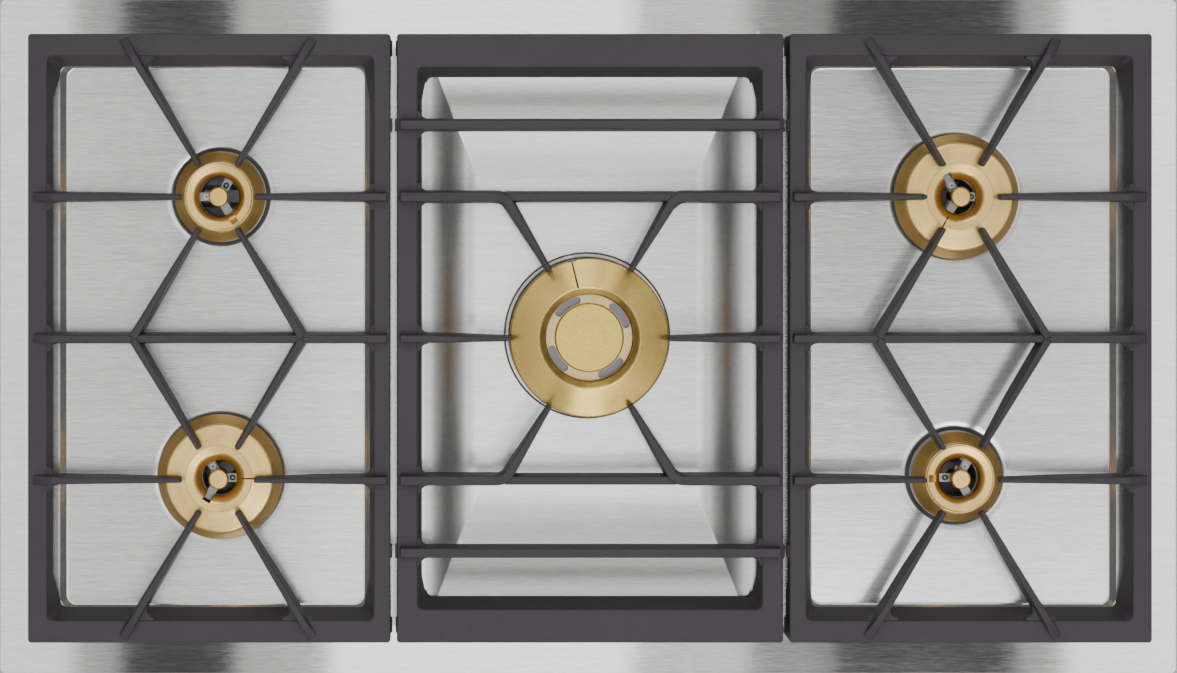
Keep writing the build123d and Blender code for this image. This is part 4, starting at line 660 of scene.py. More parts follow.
def straight_bar(start, end, start_w, end_w, ramp=0.0, drop=0.0, tip=True):
    """Bar between two places: a ramp at its start or an upright end, its underside rising to a free tip."""
    length = hypot(end[0] - start[0], end[1] - start[1])

    def along(s):
        return (start[0] + (end[0] - start[0]) * s / length, start[1] + (end[1] - start[1]) * s / length)

    top, low = PAN_PLANE - drop, PAN_PLANE - FINGER_DEPTH
    tip_low = PAN_PLANE - (FINGER_TIP_DEPTH if tip else FINGER_DEPTH)
    marks = {0.0: FRAME_TOP + 0.3 if ramp else top, length: top}
    if ramp:
        marks[ramp] = top
        marks[ramp + 1.5] = top
    else:
        marks[0.6] = top
        marks[0.0] = top - 0.8
    marks[length * 0.55] = top
    marks[length * 0.8] = top
    stations = sorted(marks)
    widths = [start_w + (end_w - start_w) * s / length for s in stations]
    tops = [marks[s] for s in stations]
    bottoms = [low if s <= length * 0.55 else low + (tip_low - low) * (s - length * 0.55) / (length * 0.45)
               for s in stations]
    return swept_bar([along(s) for s in stations], widths, tops, bottoms, tip)


def frame_form(low_x, high_x, low_bar, high_bar, end_bar):
    """Frame of a support: upright outside, leaning inside, side bars raised between the feet."""
    inner_low, inner_high = low_x + low_bar, high_x - high_bar
    outer = (low_x, high_x, HALF_SUPPORT_Y, FRAME_CORNER_R)
    inner = (inner_low, inner_high, HALF_SUPPORT_Y - end_bar, INNER_CORNER_R)
    foot = (inner_low + FRAME_DRAFT_RUN, inner_high - FRAME_DRAFT_RUN,
            HALF_SUPPORT_Y - end_bar - FRAME_DRAFT_RUN, INNER_CORNER_R)
    relief_y = [HALF_SUPPORT_Y - RELIEF_START, HALF_SUPPORT_Y - RELIEF_END]
    stations = (relief_y[0], relief_y[1], 60, 0, -60, -relief_y[1], -relief_y[0])

    def ring(low, high, half_y, radius):
        """Points round one outline: corners, then stations along the side bars."""
        points = []
        for sign_x, sign_y, start in ((1, 1, 0), (-1, 1, 90), (-1, -1, 180), (1, -1, 270)):
            cx = (high - radius) if sign_x > 0 else (low + radius)
            corner = []
            for k in range(6):
                x, y = polar(radius, start + 18 * k)
                corner.append((cx + x, sign_y * (half_y - radius) + y))
            points += corner
            if (sign_x, sign_y) == (-1, 1):
                points += [(low, y) for y in stations]
            if (sign_x, sign_y) == (1, -1):
                points += [(high, -y) for y in stations]
        return points

    outer_p, inner_p, foot_p = ring(*outer), ring(*inner), ring(*foot)
    height = FRAME_TOP - SUPPORT_BASE

    def base(y):
        y = abs(y)
        rise = FRAME_TOP - SIDE_BAR_DEPTH
        if y >= relief_y[0]:
            return SUPPORT_BASE
        if y <= relief_y[1]:
            return rise
        return SUPPORT_BASE + (rise - SUPPORT_BASE) * (relief_y[0] - y) / (relief_y[0] - relief_y[1])

    edge, inner_edge = 1.3, 1.1
    columns = []
    for o, n, f in zip(outer_p, inner_p, foot_p):
        on_side = abs(abs(o[1]) - HALF_SUPPORT_Y) > 20
        z = base(n[1]) if on_side else SUPPORT_BASE
        across = Vector((n[0] - o[0], n[1] - o[1]))
        width = across.length
        across = across.normalized()
        share = (FRAME_TOP - z) / height
        lean = Vector((f[0] - n[0], f[1] - n[1])) * share
        low = (n[0] + lean.x, n[1] + lean.y)
        drop = inner_edge / hypot(lean.length, FRAME_TOP - z)
        column = [(o[0], o[1], z), (o[0], o[1], FRAME_TOP - edge - 0.3)]
        for a in (0, 30, 60, 90):
            inwards = edge * (1 - cos(radians(a)))
            column.append((o[0] + across.x * inwards, o[1] + across.y * inwards,
                           FRAME_TOP - edge + edge * sin(radians(a))))
        column.append((o[0] + across.x * (edge + 0.3), o[1] + across.y * (edge + 0.3), FRAME_TOP))
        column.append((n[0] - across.x * (inner_edge + 0.3), n[1] - across.y * (inner_edge + 0.3), FRAME_TOP))
        start = Vector((n[0] - across.x * inner_edge, n[1] - across.y * inner_edge, FRAME_TOP))
        corner = Vector((n[0], n[1], FRAME_TOP))
        end = corner.lerp(Vector((low[0], low[1], z)), drop)
        for t in (0, 0.33, 0.67, 1):
            column.append(tuple(start * (1 - t) ** 2 + corner * 2 * t * (1 - t) + end * t ** 2))
        column.append(tuple(corner.lerp(Vector((low[0], low[1], z)), drop * 1.3)))
        column.append((low[0], low[1], z))
        columns.append(column)
    form = Form()
    rows = [form.loop(column) for column in columns]
    for a, b in zip(rows, rows[1:] + rows[:1]):
        for i in range(len(a)):
            j = (i + 1) % len(a)
            form.faces.append((a[i], b[i], b[j], a[j]))
    return form


def cast_corner(corner, first, second, radius, top=FRAME_TOP - 0.5):
    """Rounded corner between two upright walls that leave a corner at two angles."""
    turn = (second - first + 180) % 360 - 180
    half = radians(abs(turn)) / 2
    here = Vector(corner)
    along = [Vector(polar(1, angle)) for angle in (first, second)]
    centre = here + Vector(polar(radius / sin(half), first + turn / 2))
    ends = [here + a * radius / tan(half) for a in along]
    behind = [ends[1] - along[0] * CORNER_ROOT, here - (along[0] + along[1]) * CORNER_ROOT,
              ends[0] - along[1] * CORNER_ROOT]
    start, sweep = ends[0] - centre, 180 - abs(turn)
    side = 1 if start.x * (ends[1] - centre).y - start.y * (ends[1] - centre).x > 0 else -1
    loops = []
    for z, inset in ((PAN_PLANE - FINGER_DEPTH, 0), (top - 1.2, 0), (top - 1.0, 0), (top - 0.5, 0.13),
                     (top - 0.13, 0.5), (top, 1.0), (top, 1.2)):
        arc = [centre + Matrix.Rotation(radians(side * sweep * k / 8), 2) @ start * (1 + inset / radius)
               for k in range(9)]
        loops.append([(p.x, p.y, z) for p in arc + behind])
    form = Form()
    form.skin(loops)
    form.fill(loops[0])
    form.fill(loops[-1])
    return form


def end_corners(start, angle, wall_at, wall_angle, width):
    """Rounded corners on both sides of a bar where it meets the frame's inner wall."""
    forms = []
    for side in (-1, 1):
        offset = side * (width / 2 + CORNER_OUT)
        x, y = start[0] - offset * sin(radians(angle)), start[1] + offset * cos(radians(angle))
        if wall_angle == 90:
            corner = (wall_at, y + (wall_at - x) * tan(radians(angle)))
        else:
            corner = (x + (wall_at - y) / tan(radians(angle)), wall_at)
        along_wall = wall_angle if (side > 0) == (((angle - wall_angle) % 360) > 180) else wall_angle + 180
        forms.append(cast_corner(corner, angle, along_wall, CAST_CORNER_R))
    return forms


def mirrored(form):
    other = Form()
    other.points = [(-x, y, z) for x, y, z in form.points]
    other.faces = [tuple(reversed(face)) for face in form.faces]
    return other


def joint_x(side):
    tip_x, tip_y = polar(SIDE_TIP_R, FINGER_ANGLE)
    return BURNER_X + side * (tip_x + (BURNER_Y - tip_y) / tan(radians(FINGER_ANGLE)))


def nub(x, y, outwards):
    """Small stop on a frame's side that keeps two supports apart."""
    outline = softened([(-NUB_W / 2, 0), (NUB_W / 2, 0), (NUB_W / 2, NUB_H), (-NUB_W / 2, NUB_H)], 0.8)
    low = FRAME_TOP - NUB_H - 2
    form = Form()
    rows = form.skin([[(x - outwards * 0.5, y + u, low + v) for u, v in outline],
                      [(x + outwards * (NUB_T - 0.4), y + u, low + v) for u, v in outline],
                      [(x + outwards * NUB_T, y + u * 0.92, low + NUB_H / 2 + (v - NUB_H / 2) * 0.92)
                       for u, v in outline]])
    form.faces += [tuple(rows[0]), tuple(rows[-1])]
    return form


def bent_path(points, bend_r, steps=6):
    """Line of points whose middle corner is rounded."""
    a, b, c = [Vector(p) for p in points]
    back, on = (a - b).normalized(), (c - b).normalized()
    reach = bend_r / tan(back.angle(on) / 2)
    start, end = b + back * reach, b + on * reach
    arc = [tuple(start * (1 - t) ** 2 + b * 2 * t * (1 - t) + end * t ** 2)
           for t in [k / steps for k in range(steps + 1)]]
    return [tuple(a)] + arc + [tuple(c)]


def side_support_forms():
    forms = [frame_form(SIDE_LOW_X, SIDE_HIGH_X, INNER_BAR, OUTER_BAR, END_BAR)]
    inner_end, outer_end = SIDE_LOW_X + END_SETBACK, SIDE_HIGH_X - RAMP_SETBACK
    ends_y = HALF_SUPPORT_Y - RAMP_SETBACK
    inner_wall = SIDE_LOW_X + INNER_BAR + CORNER_SETBACK
    outer_wall = SIDE_HIGH_X - OUTER_BAR - CORNER_SETBACK
    end_wall = HALF_SUPPORT_Y - END_BAR - CORNER_SETBACK
    tip_x, tip_y = polar(SIDE_TIP_R, FINGER_ANGLE)
    for y in (-BURNER_Y, 0, BURNER_Y):
        forms += end_corners((outer_end, y), 180, outer_wall, 90, FINGER_W)
        forms += end_corners((inner_end, y), 0, inner_wall, 90, FINGER_W)
    for sign in (-1, 1):
        y = sign * BURNER_Y
        outer_tip, inner_tip = (BURNER_X + SIDE_TIP_R, y), (BURNER_X - SIDE_TIP_R, y)
        forms.append(straight_bar((outer_end, y), outer_tip, FINGER_W, FINGER_TIP_W, RAMP_RUN))
        forms.append(straight_bar((inner_end, y), inner_tip, FINGER_W, FINGER_TIP_W))
        for side in (-1, 1):
            tip = (BURNER_X + side * tip_x, y + sign * tip_y)
            reach = (ends_y - abs(tip[1])) / tan(radians(FINGER_ANGLE))
            root = (tip[0] + side * reach, sign * ends_y)
            forms.append(straight_bar(root, tip, FINGER_W, FINGER_TIP_W, RAMP_RUN))
            heading = -sign * (90 + side * (90 - FINGER_ANGLE))
            forms += end_corners(root, heading, sign * end_wall, 0, FINGER_W)
            low_tip = (tip[0], y - sign * tip_y)
            forms.append(straight_bar((joint_x(side), 0), low_tip, FINGER_W, FINGER_TIP_W))
    forms.append(straight_bar((outer_end, 0), (joint_x(1), 0), FINGER_W, FINGER_W, RAMP_RUN, tip=False))
    forms.append(straight_bar((inner_end, 0), (joint_x(-1), 0), FINGER_W, FINGER_W, tip=False))
    tie_w = FINGER_W - 0.3
    forms.append(straight_bar((joint_x(-1), 0), (joint_x(1), 0), tie_w, tie_w, drop=TIE_DROP, tip=False))
    forms += [nub(SIDE_LOW_X, sign * CENTRE_BAR_Y, -1) for sign in (-1, 1)]
    return forms


def centre_support_forms():
    forms = [frame_form(-CENTRE_EDGE_X, CENTRE_EDGE_X, CENTRE_BAR, CENTRE_BAR, CENTRE_END_BAR)]
    end_x, wall = CENTRE_EDGE_X - END_SETBACK, CENTRE_EDGE_X - CENTRE_BAR - CORNER_SETBACK
    tip_x, tip_y = polar(CENTRE_TIP_R, FINGER_ANGLE)
    bend_x = tip_x + (BURNER_Y - tip_y) / tan(radians(FINGER_ANGLE))
    for side in (-1, 1):
        forms.append(straight_bar((side * end_x, 0), (side * CENTRE_TIP_R, 0), FINGER_W, FINGER_TIP_W))
        forms += end_corners((side * end_x, 0), 90 + side * 90, side * wall, 90, FINGER_W)
        bar_y = side * CENTRE_BAR_Y
        for end in (-1, 1):
            forms.append(straight_bar((end * end_x, bar_y), (0, bar_y), BAR_W, BAR_W, tip=False))
        forms.append(straight_bar((-bend_x, side * BURNER_Y), (bend_x, side * BURNER_Y), FINGER_W, FINGER_W,
                                  drop=TIE_DROP, tip=False))
        for end in (-1, 1):
            path = bent_path([(end * end_x, side * BURNER_Y), (end * bend_x, side * BURNER_Y),
                              (end * tip_x, side * tip_y)], 12.0)
            path = [path[0], (path[0][0] - end * 0.6, path[0][1])] + path[1:]
            low, count = PAN_PLANE - FINGER_DEPTH, len(path)
            widths = [BAR_W] * (count - 1) + [FINGER_TIP_W]
            tops = [PAN_PLANE - 0.8] + [PAN_PLANE] * (count - 1)
            bottoms = [low] * (count - 1) + [PAN_PLANE - FINGER_TIP_DEPTH]
            forms.append(swept_bar(path, widths, tops, bottoms))
            turns = (90 - end * 90, -side * (90 + end * (90 - FINGER_ANGLE)))
            turn = (turns[1] - turns[0] + 180) % 360 - 180
            x, y = polar((BAR_W / 2 + CORNER_OUT) / sin(radians(abs(turn)) / 2), turns[0] + turn / 2)
            corner = (end * bend_x + x, side * BURNER_Y + y)
            forms.append(cast_corner(corner, *turns, BEND_R, PAN_PLANE - 2.5))
            for bar_y in (side * BURNER_Y, side * CENTRE_BAR_Y):
                forms += end_corners((end * end_x, bar_y), 90 + end * 90, end * wall, 90, BAR_W)
            forms.append(nub(end * CENTRE_EDGE_X, side * CENTRE_BAR_Y, end))
    return forms


def make_supports():
    right = side_support_forms()
    left = [mirrored(form) for form in right]
    for name, forms in (("right", right), ("left", left), ("centre", centre_support_forms())):
        whole = Form()
        for form in forms:
            whole.add(form)
        support = shaped(whole, "pan_support_" + name + "_casting", 0.001)
        finished(support, iron, "support_" + name, ["pan_support_" + name], sharp=38)


# ------------------------------------------------------------------ burners

def flame_ports():
    """Geometry Nodes: takes a ring of evenly spaced upright slots out of a turned piece."""
    tree = bpy.data.node_groups.new("flame_ports", "GeometryNodeTree")
    tree.is_modifier = True
    for name, kind in (("Body", "Geometry"), ("Count", "Int"), ("Radius", "Float"), ("Width", "Float"),
                       ("Height", "Float"), ("Depth", "Float"), ("Centre", "Vector"), ("Finish", "Material")):
        tree.interface.new_socket(name, in_out="INPUT", socket_type="NodeSocket" + kind)
    tree.interface.new_socket("Body", in_out="OUTPUT", socket_type="NodeSocketGeometry")

    def node(kind, settings=None, **links):
        made = tree.nodes.new(kind)
        for key, value in (settings or {}).items():
            setattr(made, key, value)
        for key, value in links.items():
            socket = made.inputs[int(key[1:])] if key[0] == "_" else made.inputs[key.replace("_", " ")]
            if isinstance(value, bpy.types.NodeSocket):
                tree.links.new(value, socket)
            else:
                socket.default_value = value
        return made

    given = node("NodeGroupInput").outputs
    places = node("GeometryNodeMeshCircle", Vertices=given["Count"], Radius=given["Radius"]).outputs["Mesh"]
    size = node("ShaderNodeCombineXYZ", X=given["Depth"], Y=given["Width"], Z=given["Height"]).outputs[0]
    slot = node("GeometryNodeMeshCube", Size=size).outputs["Mesh"]
    facing = node("FunctionNodeAlignRotationToVector", {"axis": "X"},
                  Vector=node("GeometryNodeInputPosition").outputs[0]).outputs[0]
    slots = node("GeometryNodeInstanceOnPoints", Points=places, Instance=slot, Rotation=facing).outputs[0]
    solid = node("GeometryNodeRealizeInstances", Geometry=slots).outputs[0]
    moved = node("GeometryNodeTransform", Geometry=solid, Translation=given["Centre"]).outputs[0]
    opened = node("GeometryNodeMeshBoolean", {"operation": "DIFFERENCE", "solver": "EXACT"})
    tree.links.new(given["Body"], opened.inputs[0])
    tree.links.new(moved, opened.inputs[1])
    whole = node("GeometryNodeRealizeInstances", Geometry=opened.outputs[0]).outputs[0]
    painted = node("GeometryNodeSetMaterial", Geometry=whole, Material=given["Finish"]).outputs[0]
    tree.links.new(painted, node("NodeGroupOutput").inputs[0])
    return tree


PORTS = flame_ports()


def with_ports(made, count, radius, centre, width, height, depth, finish):
    step = made.modifiers.new("ports", "NODES")
    step.node_group = PORTS
    values = {"Count": count, "Radius": radius * MM, "Width": width * MM, "Height": height * MM,
              "Depth": depth * MM, "Centre": [c * MM for c in centre], "Finish": finish.material}
    for item in PORTS.interface.items_tree:
        if item.item_type == "SOCKET" and item.in_out == "INPUT" and item.name in values:
            step[item.identifier] = values[item.name]
    return baked(made)


def make_ring(b):
    """Sloping skirt, seat and collar with inward flame ports."""
    top, collar = b.seat_z, b.collar_r
    outline = softened([
        (b.ring_r, b.edge_z), (b.ring_r, b.edge_z + SEAT_W), (b.cap_r + SEAT_W, top - SEAT_W), (b.cap_r, top),
        (collar, top), (collar, b.edge_z), (collar + WALL, b.edge_z), (collar + WALL, top - WALL),
        (b.cap_r - 1.5, top - WALL), (b.ring_r - WALL, b.edge_z)], 0.4)
    ring = shaped(turned(outline, (b.x, b.y, RIM_TOP)), b.name + "_burner_skirt")
    port_z = RIM_TOP + b.edge_z + PORT_H / 2 + 1
    with_ports(ring, b.ports, collar + WALL / 2, (b.x, b.y, port_z), PORT_W, PORT_H, 2 * WALL, ring_brass)
    if b.pocket_at in b.struts:
        cut(ring, [shaped(block_on_radius((b.x, b.y), b.bore_r + POCKET / 2, b.pocket_at,
                                          (POCKET + 2, STRUT_W, 60), RIM_TOP), "pocket")])
    finished(ring, ring_brass, b.name + "_ring", [b.name + "_burner_ring"], (b.x, b.y))


def make_cap(b):
    """Cap with a rounded lead-in to its bore, a square pocket and a cross-lighting slit."""
    top, seat, bore = b.cap_top, b.seat_z, b.bore_r
    neck_r, neck_z = bore + WALL / 2, seat - NECK_H
    outline = [(bore, top - LEAD_IN - 1.5)]
    if b.cap_r > BROAD_CAP_R:
        outline += [(bore + 1.2, top - 3.9), (bore + 2.8, top - 2.4), (bore + 4.4, top - 1.25),
                    (bore + 6.0, top - 0.6), (CROWN_R - 0.2, top - 0.22), (CROWN_R, top),
                    (b.cap_r - CAP_CHAMFER, top - CAP_FALL / 2), (b.cap_r - CAP_FALL / 2, top - CAP_FALL),
                    (b.cap_r, top - CAP_CHAMFER)]
    else:
        outline += [(bore + 1.0, top - 3.8), (bore + 2.2, top - 2.5), (bore + 3.4, top - 1.6),
                    (bore + 4.4, top - 1.1), (b.cap_r - 2.3, top - 0.6), (b.cap_r - 1.6, top - 0.08),
                    (b.cap_r - 0.9, top - 0.1), (b.cap_r, top - 1.6)]
    outline = softened(outline + [(b.cap_r, seat), (neck_r, seat), (neck_r, neck_z), (bore, neck_z)], 0.5,
                       closed=False)
    cap = shaped(turned(outline, (b.x, b.y, RIM_TOP), 128), b.name + "_burner_top")
    at, crown_z = (b.x, b.y), RIM_TOP + top
    if b.cap_r > BROAD_CAP_R:
        cutters = [block_on_radius(at, bore + POCKET / 2 - 1, b.pocket_at, (POCKET + 2, POCKET, 60), RIM_TOP)]
    else:
        side = POCKET - SEAT_W
        x, y = polar(bore + side / 2 + 2 * SEAT_W, b.pocket_at)
        cutters = [block((side, side, 8.0), (b.x + x, b.y + y, crown_z + 1.2), b.pocket_at, POCKET_TILT)]
    if b.slit_at is not None:
        notch = (NOTCH_DEPTH * 2, NOTCH_W, 2 * SLIT_DEPTH + 2)
        cutters.append(groove(at, b.slit_at, (bore - 1, crown_z), (b.cap_r + 1, crown_z)))
        cutters.append(block_on_radius(at, b.cap_r, b.slit_at, notch, crown_z))
    cut(cap, [shaped(form, "cutter") for form in cutters])
    finished(cap, cap_brass, b.name + "_cap", [b.name + "_burner_cap"], at)


def make_stud(b):
    top, head_r = b.stud_top, b.stud_r
    outline = softened([
        (0, top), (head_r - STUD_CHAMFER, top), (head_r, top - STUD_CHAMFER), (head_r, top - STUD_HEAD_H),
        (head_r - 2, top - STUD_HEAD_H - 1), (head_r - 2, b.hub_z), (0, b.hub_z)], 0.5)
    stud = shaped(turned(outline, (b.x, b.y, RIM_TOP), 64), b.name + "_stud")
    cutters = []
    for (x, y), radius in zip(b.probes(), (CERAMIC_R, PROBE_R)):
        reach = radius + LIFT_GAP
        drill = turned([(0, -60), (reach, -60), (reach, 60), (0, 60)], (b.x + x, b.y + y, 0), 32)
        cutters.append(shaped(drill, "drill"))
    cut(stud, cutters)
    finished(stud, stud_brass, "chassis", [b.name + "_burner_stud"], (b.x, b.y))


def make_wok_cap():
    """Broad cone with a bright crest and a short inner wall."""
    low = WOK_EDGE_Z - WOK_CAP_EDGE
    crest, bore = WOK_CREST_R, WOK_BORE_R
    outline = softened([
        (WOK_CAP_R - 0.8, WOK_EDGE_Z - 0.2), (crest + 1.5, WOK_CREST_Z - 0.3), (crest, WOK_CREST_Z),
        (crest - 1.2, WOK_CREST_Z - 0.5), (bore + 0.6, WOK_CREST_Z - 2.8), (bore, WOK_CREST_Z - 4),
        (bore, low), (WOK_CAP_R - 1, low), (WOK_CAP_R, low + 0.6), (WOK_CAP_R, WOK_EDGE_Z - 0.8)], 0.5)
    cap = shaped(turned(outline, (0, 0, RIM_TOP), 160), "wok_burner_cone")
    crest_z, edge_z = RIM_TOP + WOK_CREST_Z, RIM_TOP + WOK_EDGE_Z
    notch = (2 * NOTCH_DEPTH, NOTCH_W + 1.5, 10)
    cutters = [groove((0, 0), WOK_NOTCH_AT, (crest, crest_z), (WOK_CAP_R, edge_z)),
               block_on_radius((0, 0), WOK_CAP_R, WOK_NOTCH_AT, notch, edge_z)]
    cut(cap, [shaped(form, "cutter") for form in cutters])
    finished(cap, wok_brass, "wok_cap", ["wok_burner_cap"])


def arc_slot(middle):
    """Curved slot with round ends, as a form that reaches through the inner plate."""
    arc = WOK_SLOT_ARC - degrees(WOK_SLOT_W / WOK_SLOT_R)
    half = WOK_SLOT_W / 2
    outline = []
    for k in range(13):
        outline.append(polar(WOK_SLOT_R + half, middle - arc / 2 + arc * k / 12))
    for k in range(1, 8):
        x, y = polar(WOK_SLOT_R, middle + arc / 2)
        dx, dy = polar(half, middle + arc / 2 + 180 * k / 8)
        outline.append((x + dx, y + dy))
    for k in range(13):
        outline.append(polar(WOK_SLOT_R - half, middle + arc / 2 - arc * k / 12))
    for k in range(1, 8):
        x, y = polar(WOK_SLOT_R, middle - arc / 2)
        dx, dy = polar(half, middle - arc / 2 + 180 + 180 * k / 8)
        outline.append((x + dx, y + dy))
    form = Form()
    top = RIM_TOP + WOK_FLOOR_Z
    rows = form.skin([[(x, y, top - 5) for x, y in outline], [(x, y, top + 5) for x, y in outline]])
    form.faces += [tuple(reversed(rows[0])), tuple(rows[1])]
    return form


def make_wok_inner():
    outer, inner, floor = WOK_BORE_R - LIFT_GAP - 0.1, WOK_DISC_R - 8, WOK_FLOOR_Z
    outline = softened([(inner, floor - WALL), (inner, floor), (outer, floor), (outer, floor - 7),
                        (outer - WALL, floor - 7), (outer - WALL, floor - WALL)], 0.4)
    ring = shaped(turned(outline, (0, 0, RIM_TOP), 128), "wok_inner_plate")
    cut(ring, [shaped(arc_slot(middle), "slot") for middle in WOK_SLOTS_AT])
    finished(ring, floor_brass, "wok_inner", ["wok_inner_ring"])
    low, high, bed_r = floor - SLOT_BED_BOTTOM, floor - SLOT_BED_TOP, outer - 0.3
    bed = turned([(SLOT_BED_R, low), (bed_r, low), (bed_r, high), (SLOT_BED_R, high)], (0, 0, RIM_TOP), 96)
    bed = shaped(bed, "wok_inner_slot_bed")
    finished(bed, slot_grey, "wok_inner", ["wok_inner_ring"])
    top, spigot = WOK_FLOOR_Z + WOK_DISC_T, WOK_DISC_R - 8 - LIFT_GAP
    outline = softened([(0, top), (WOK_DISC_R - 1, top), (WOK_DISC_R, top - 0.8), (WOK_DISC_R, WOK_FLOOR_Z),
                        (spigot, WOK_FLOOR_Z), (spigot, WOK_FLOOR_Z - 1.5), (0, WOK_FLOOR_Z - 1.5)], 0.5)
    disc = shaped(turned(outline, (0, 0, RIM_TOP), 96), "wok_centre_disc")
    finished(disc, disc_brass, "wok_centre", ["wok_centre_cap"])


def make_wok_ring():
    low, high = WOK_SHOULDER_Z, WOK_EDGE_Z - WOK_CAP_EDGE
    body = WOK_BODY_R - 0.5
    inner = body - WALL * 1.6
    outline = softened([
        (body, low), (body, high), (inner, high), (inner, low + 3 + WALL), (WOK_COLLAR_R, low + 3 + WALL),
        (WOK_COLLAR_R, low + 3), (body - WALL, low + 3), (body - WALL, low)], 0.3)
    ring = shaped(turned(outline, (0, 0, RIM_TOP), 160), "wok_burner_port_ring")
    port_z = RIM_TOP + high - WOK_PORT_H / 2 - 1
    with_ports(ring, WOK_PORTS, body, (0, 0, port_z), PORT_W, WOK_PORT_H, 4 * WALL, ring_brass)
    finished(ring, ring_brass, "wok_ring", ["wok_burner_ring"])


def ceramic_rod(name, x, y, bottom, shoulder, top):
    """White ceramic rod, with its metal pin as a piece of its own."""
    rod = shaped(turned(softened([
        (PIN_R, bottom), (CERAMIC_R, bottom), (CERAMIC_R, shoulder - 0.5), (CERAMIC_R - 0.3, shoulder),
        (PIN_R, shoulder)], 0.3), (x, y, RIM_TOP), 32), name + "_rod")
    finished(rod, white_ceramic, "chassis", [name], (x, y))
    low, pin_r = bottom + 4, PIN_R - 0.05
    outline = softened([(0, low), (pin_r, low), (pin_r, top), (0, top)], 0.3)
    pin = shaped(turned(outline, (x, y, RIM_TOP), 20), name + "_pin")
    finished(pin, pin_steel, "chassis", [name], (x, y))


def thermocouple(x, y, bottom, shoulder, top):
    outline = [(0, bottom), (PROBE_R, bottom), (PROBE_R, shoulder), (PROBE_TIP_R, shoulder + 2),
               (PROBE_TIP_R, top), (0, top)]
    return turned(softened(outline, 0.4), (x, y, RIM_TOP), 28)


def make_burners():
    probes = Form()
    for b in BURNERS:
        make_ring(b)
        make_cap(b)
        make_stud(b)
        spark, probe = b.probes()
        ceramic_rod(b.name + "_electrode", b.x + spark[0], b.y + spark[1], PROBE_BOTTOM, b.hub_z + 1.6,
                    b.hub_z + 2.6)
        probes.add(thermocouple(b.x + probe[0], b.y + probe[1], PROBE_BOTTOM, b.hub_z - 4, b.hub_z + 0.4))
    make_wok_cap()
    make_wok_inner()
    make_wok_ring()
    ceramic_rod("wok_electrode", *polar(WOK_PROBE_AXIS_R, WOK_NOTCH_AT), WOK_CUP_BOTTOM - 4, 9, 14)
    probes.add(thermocouple(*polar(WOK_PROBE_AXIS_R, WOK_PROBE_AT), WOK_CUP_BOTTOM - 4, 8, 14))
    finished(shaped(probes, "thermocouple_probes"), pin_steel, "chassis", ["thermocouples"])


# ------------------------------------------------------------------ pieces that keep their CAD shape

def paint(nodes, finish):
    for node in nodes:
        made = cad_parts[node]
        for i in range(max(1, len(made.material_slots))):
            if i < len(made.material_slots):
                made.material_slots[i].material = finish.material
            else:
                made.data.materials.append(finish.material)


def paint_cad_nodes():
    numbered = [str(n) for n in range(1, 6)]
    paint(["base_tray", "worktop_clamps", "rail_brackets"], tray_steel)
    paint(["tray_screws", "clamp_screws"], screw_zinc)
    paint(["rim_seal"], seal_foam)
    paint(["support_feet_left", "support_feet_centre", "support_feet_right"], foot_rubber)
    paint([b.name + "_burner_cup" for b in BURNERS] + ["wok_burner_cup"], cup_metal)
    paint(["gas_pipes", "manifold_rail"], pipe_metal)
    paint(["tap_body_" + n for n in numbered] + ["tap_plug_" + n for n in numbered], fitting_brass)
    paint(["tap_spindle_" + n for n in numbered], turned_steel)
    paint(["gas_injectors", "gas_inlet"], fitting_brass)
    paint(["ignition_module"], module_plastic)


# ------------------------------------------------------------------ camera, floor and light

def make_camera():
    """Straight down over the back left, framed on the plate's outline."""
    camera = bpy.data.cameras.new("camera")
    camera.lens, camera.sensor_width = 97.2, 36.0
    camera.shift_x, camera.shift_y = 0.1296, -0.1321
    camera.clip_end = 50.0
    made = bpy.data.objects.new("camera", camera)
    made.location = (-0.1176, 0.1201, 2.460)
    bpy.context.scene.collection.objects.link(made)
    bpy.context.scene.camera = made


def softbox(name, low, high, z, radiance, colour=(1, 1, 1)):
    """Flat panel overhead, between two corners, that shines down."""
    light = bpy.data.lights.new(name, "AREA")
    light.shape, light.size, light.size_y = "RECTANGLE", high[0] - low[0], high[1] - low[1]
    light.energy, light.color = radiance * pi * light.size * light.size_y, colour
    made = bpy.data.objects.new(name, light)
    made.location = ((low[0] + high[0]) / 2, (low[1] + high[1]) / 2, z)
    bpy.context.scene.collection.objects.link(made)
    return made


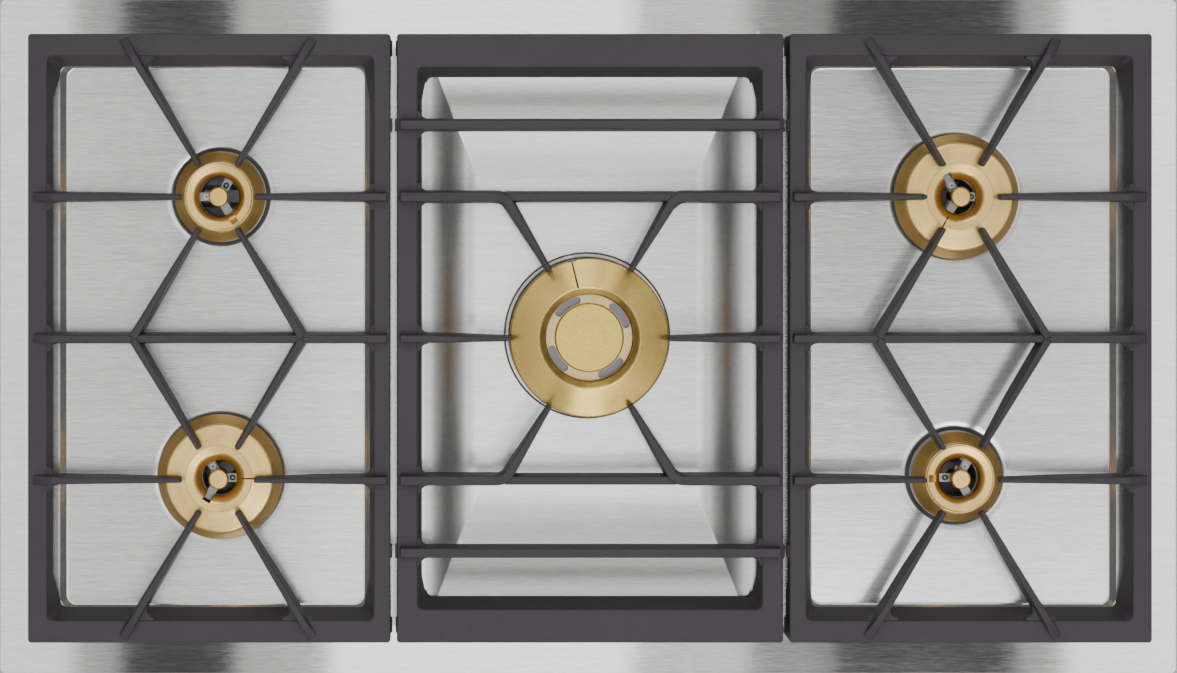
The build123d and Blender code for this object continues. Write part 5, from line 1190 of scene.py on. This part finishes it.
def make_studio():
    """Overhead panels with two dark gaps, a soft key at the front right, low panels at front and back."""
    world = bpy.data.worlds.new("studio")
    world.use_nodes = True
    world.node_tree.nodes["Background"].inputs["Color"].default_value = (0.97, 0.99, 1, 1)
    world.node_tree.nodes["Background"].inputs["Strength"].default_value = 0.09
    bpy.context.scene.world = world
    floor = Form()
    floor.fill([(x * FLOOR_HALF, y * FLOOR_HALF, FLOOR_Z) for x, y in ((-1, -1), (1, -1), (1, 1), (-1, 1))])
    pale = Finish("pale_floor", (0.8, 0.8, 0.79), 0.7)
    tone = pale.noise(pale.place(), 400.0)
    pale.set(**{"Base Color": pale.mix(tone, (0.79, 0.79, 0.78), (0.81, 0.81, 0.8))})
    ground = shaped(floor, "floor")
    ground.data.materials.append(pale.material)
    for name, low_x, high_x, low_y, high_y, radiance in (
            ("far_left", -4.4, -2.6, -3.0, 3.0, 0.15), ("left_outer", -2.6, -1.5, -2.4, 2.2, 0.3),
            ("left", -1.5, -0.74, -2.0, 1.8, 1.4), ("left_edge", -0.74, -0.66, -2.0, 1.8, 0.5),
            ("centre_left", -0.46, -0.30, -2.0, 1.8, 0.65), ("centre", -0.30, 0.22, -1.7, 1.5, 2.3),
            ("centre_right", 0.22, 0.42, -1.6, 1.4, 0.95), ("centre_edge", 0.42, 0.56, -1.6, 1.4, 0.3),
            ("right_edge", 0.88, 0.96, -1.6, 1.4, 0.5), ("right", 0.96, 1.5, -1.5, 1.2, 1.95),
            ("right_outer", 1.5, 2.6, -2.4, 2.2, 0.28), ("far_right", 2.6, 4.4, -3.0, 3.0, 0.15),
            ("front_fan", -0.35, 0.55, -3.0, -1.7, 5.0), ("back_fan", 0.55, 0.95, 1.3, 1.9, 6.0),
            ("back_wide", -0.75, 0.50, 1.85, 3.1, 3.5)):
        softbox(name + "_panel", (low_x, low_y), (high_x, high_y), CEILING, radiance)
    softbox("key", (0.72, -2.8), (1.68, -1.84), KEY_HEIGHT, KEY_RADIANCE)
    for name, y, tilt, radiance in (("low_front", -4.2, 78, 0.6), ("low_back", 4.2, -78, 0.3)):
        panel = softbox(name + "_panel", (-3, y - 1), (3, y + 1), 1.2, radiance)
        panel.rotation_euler = (radians(tilt), 0, 0)


make_camera()
make_studio()
make_plate()
make_supports()
make_burners()
paint_cad_nodes()
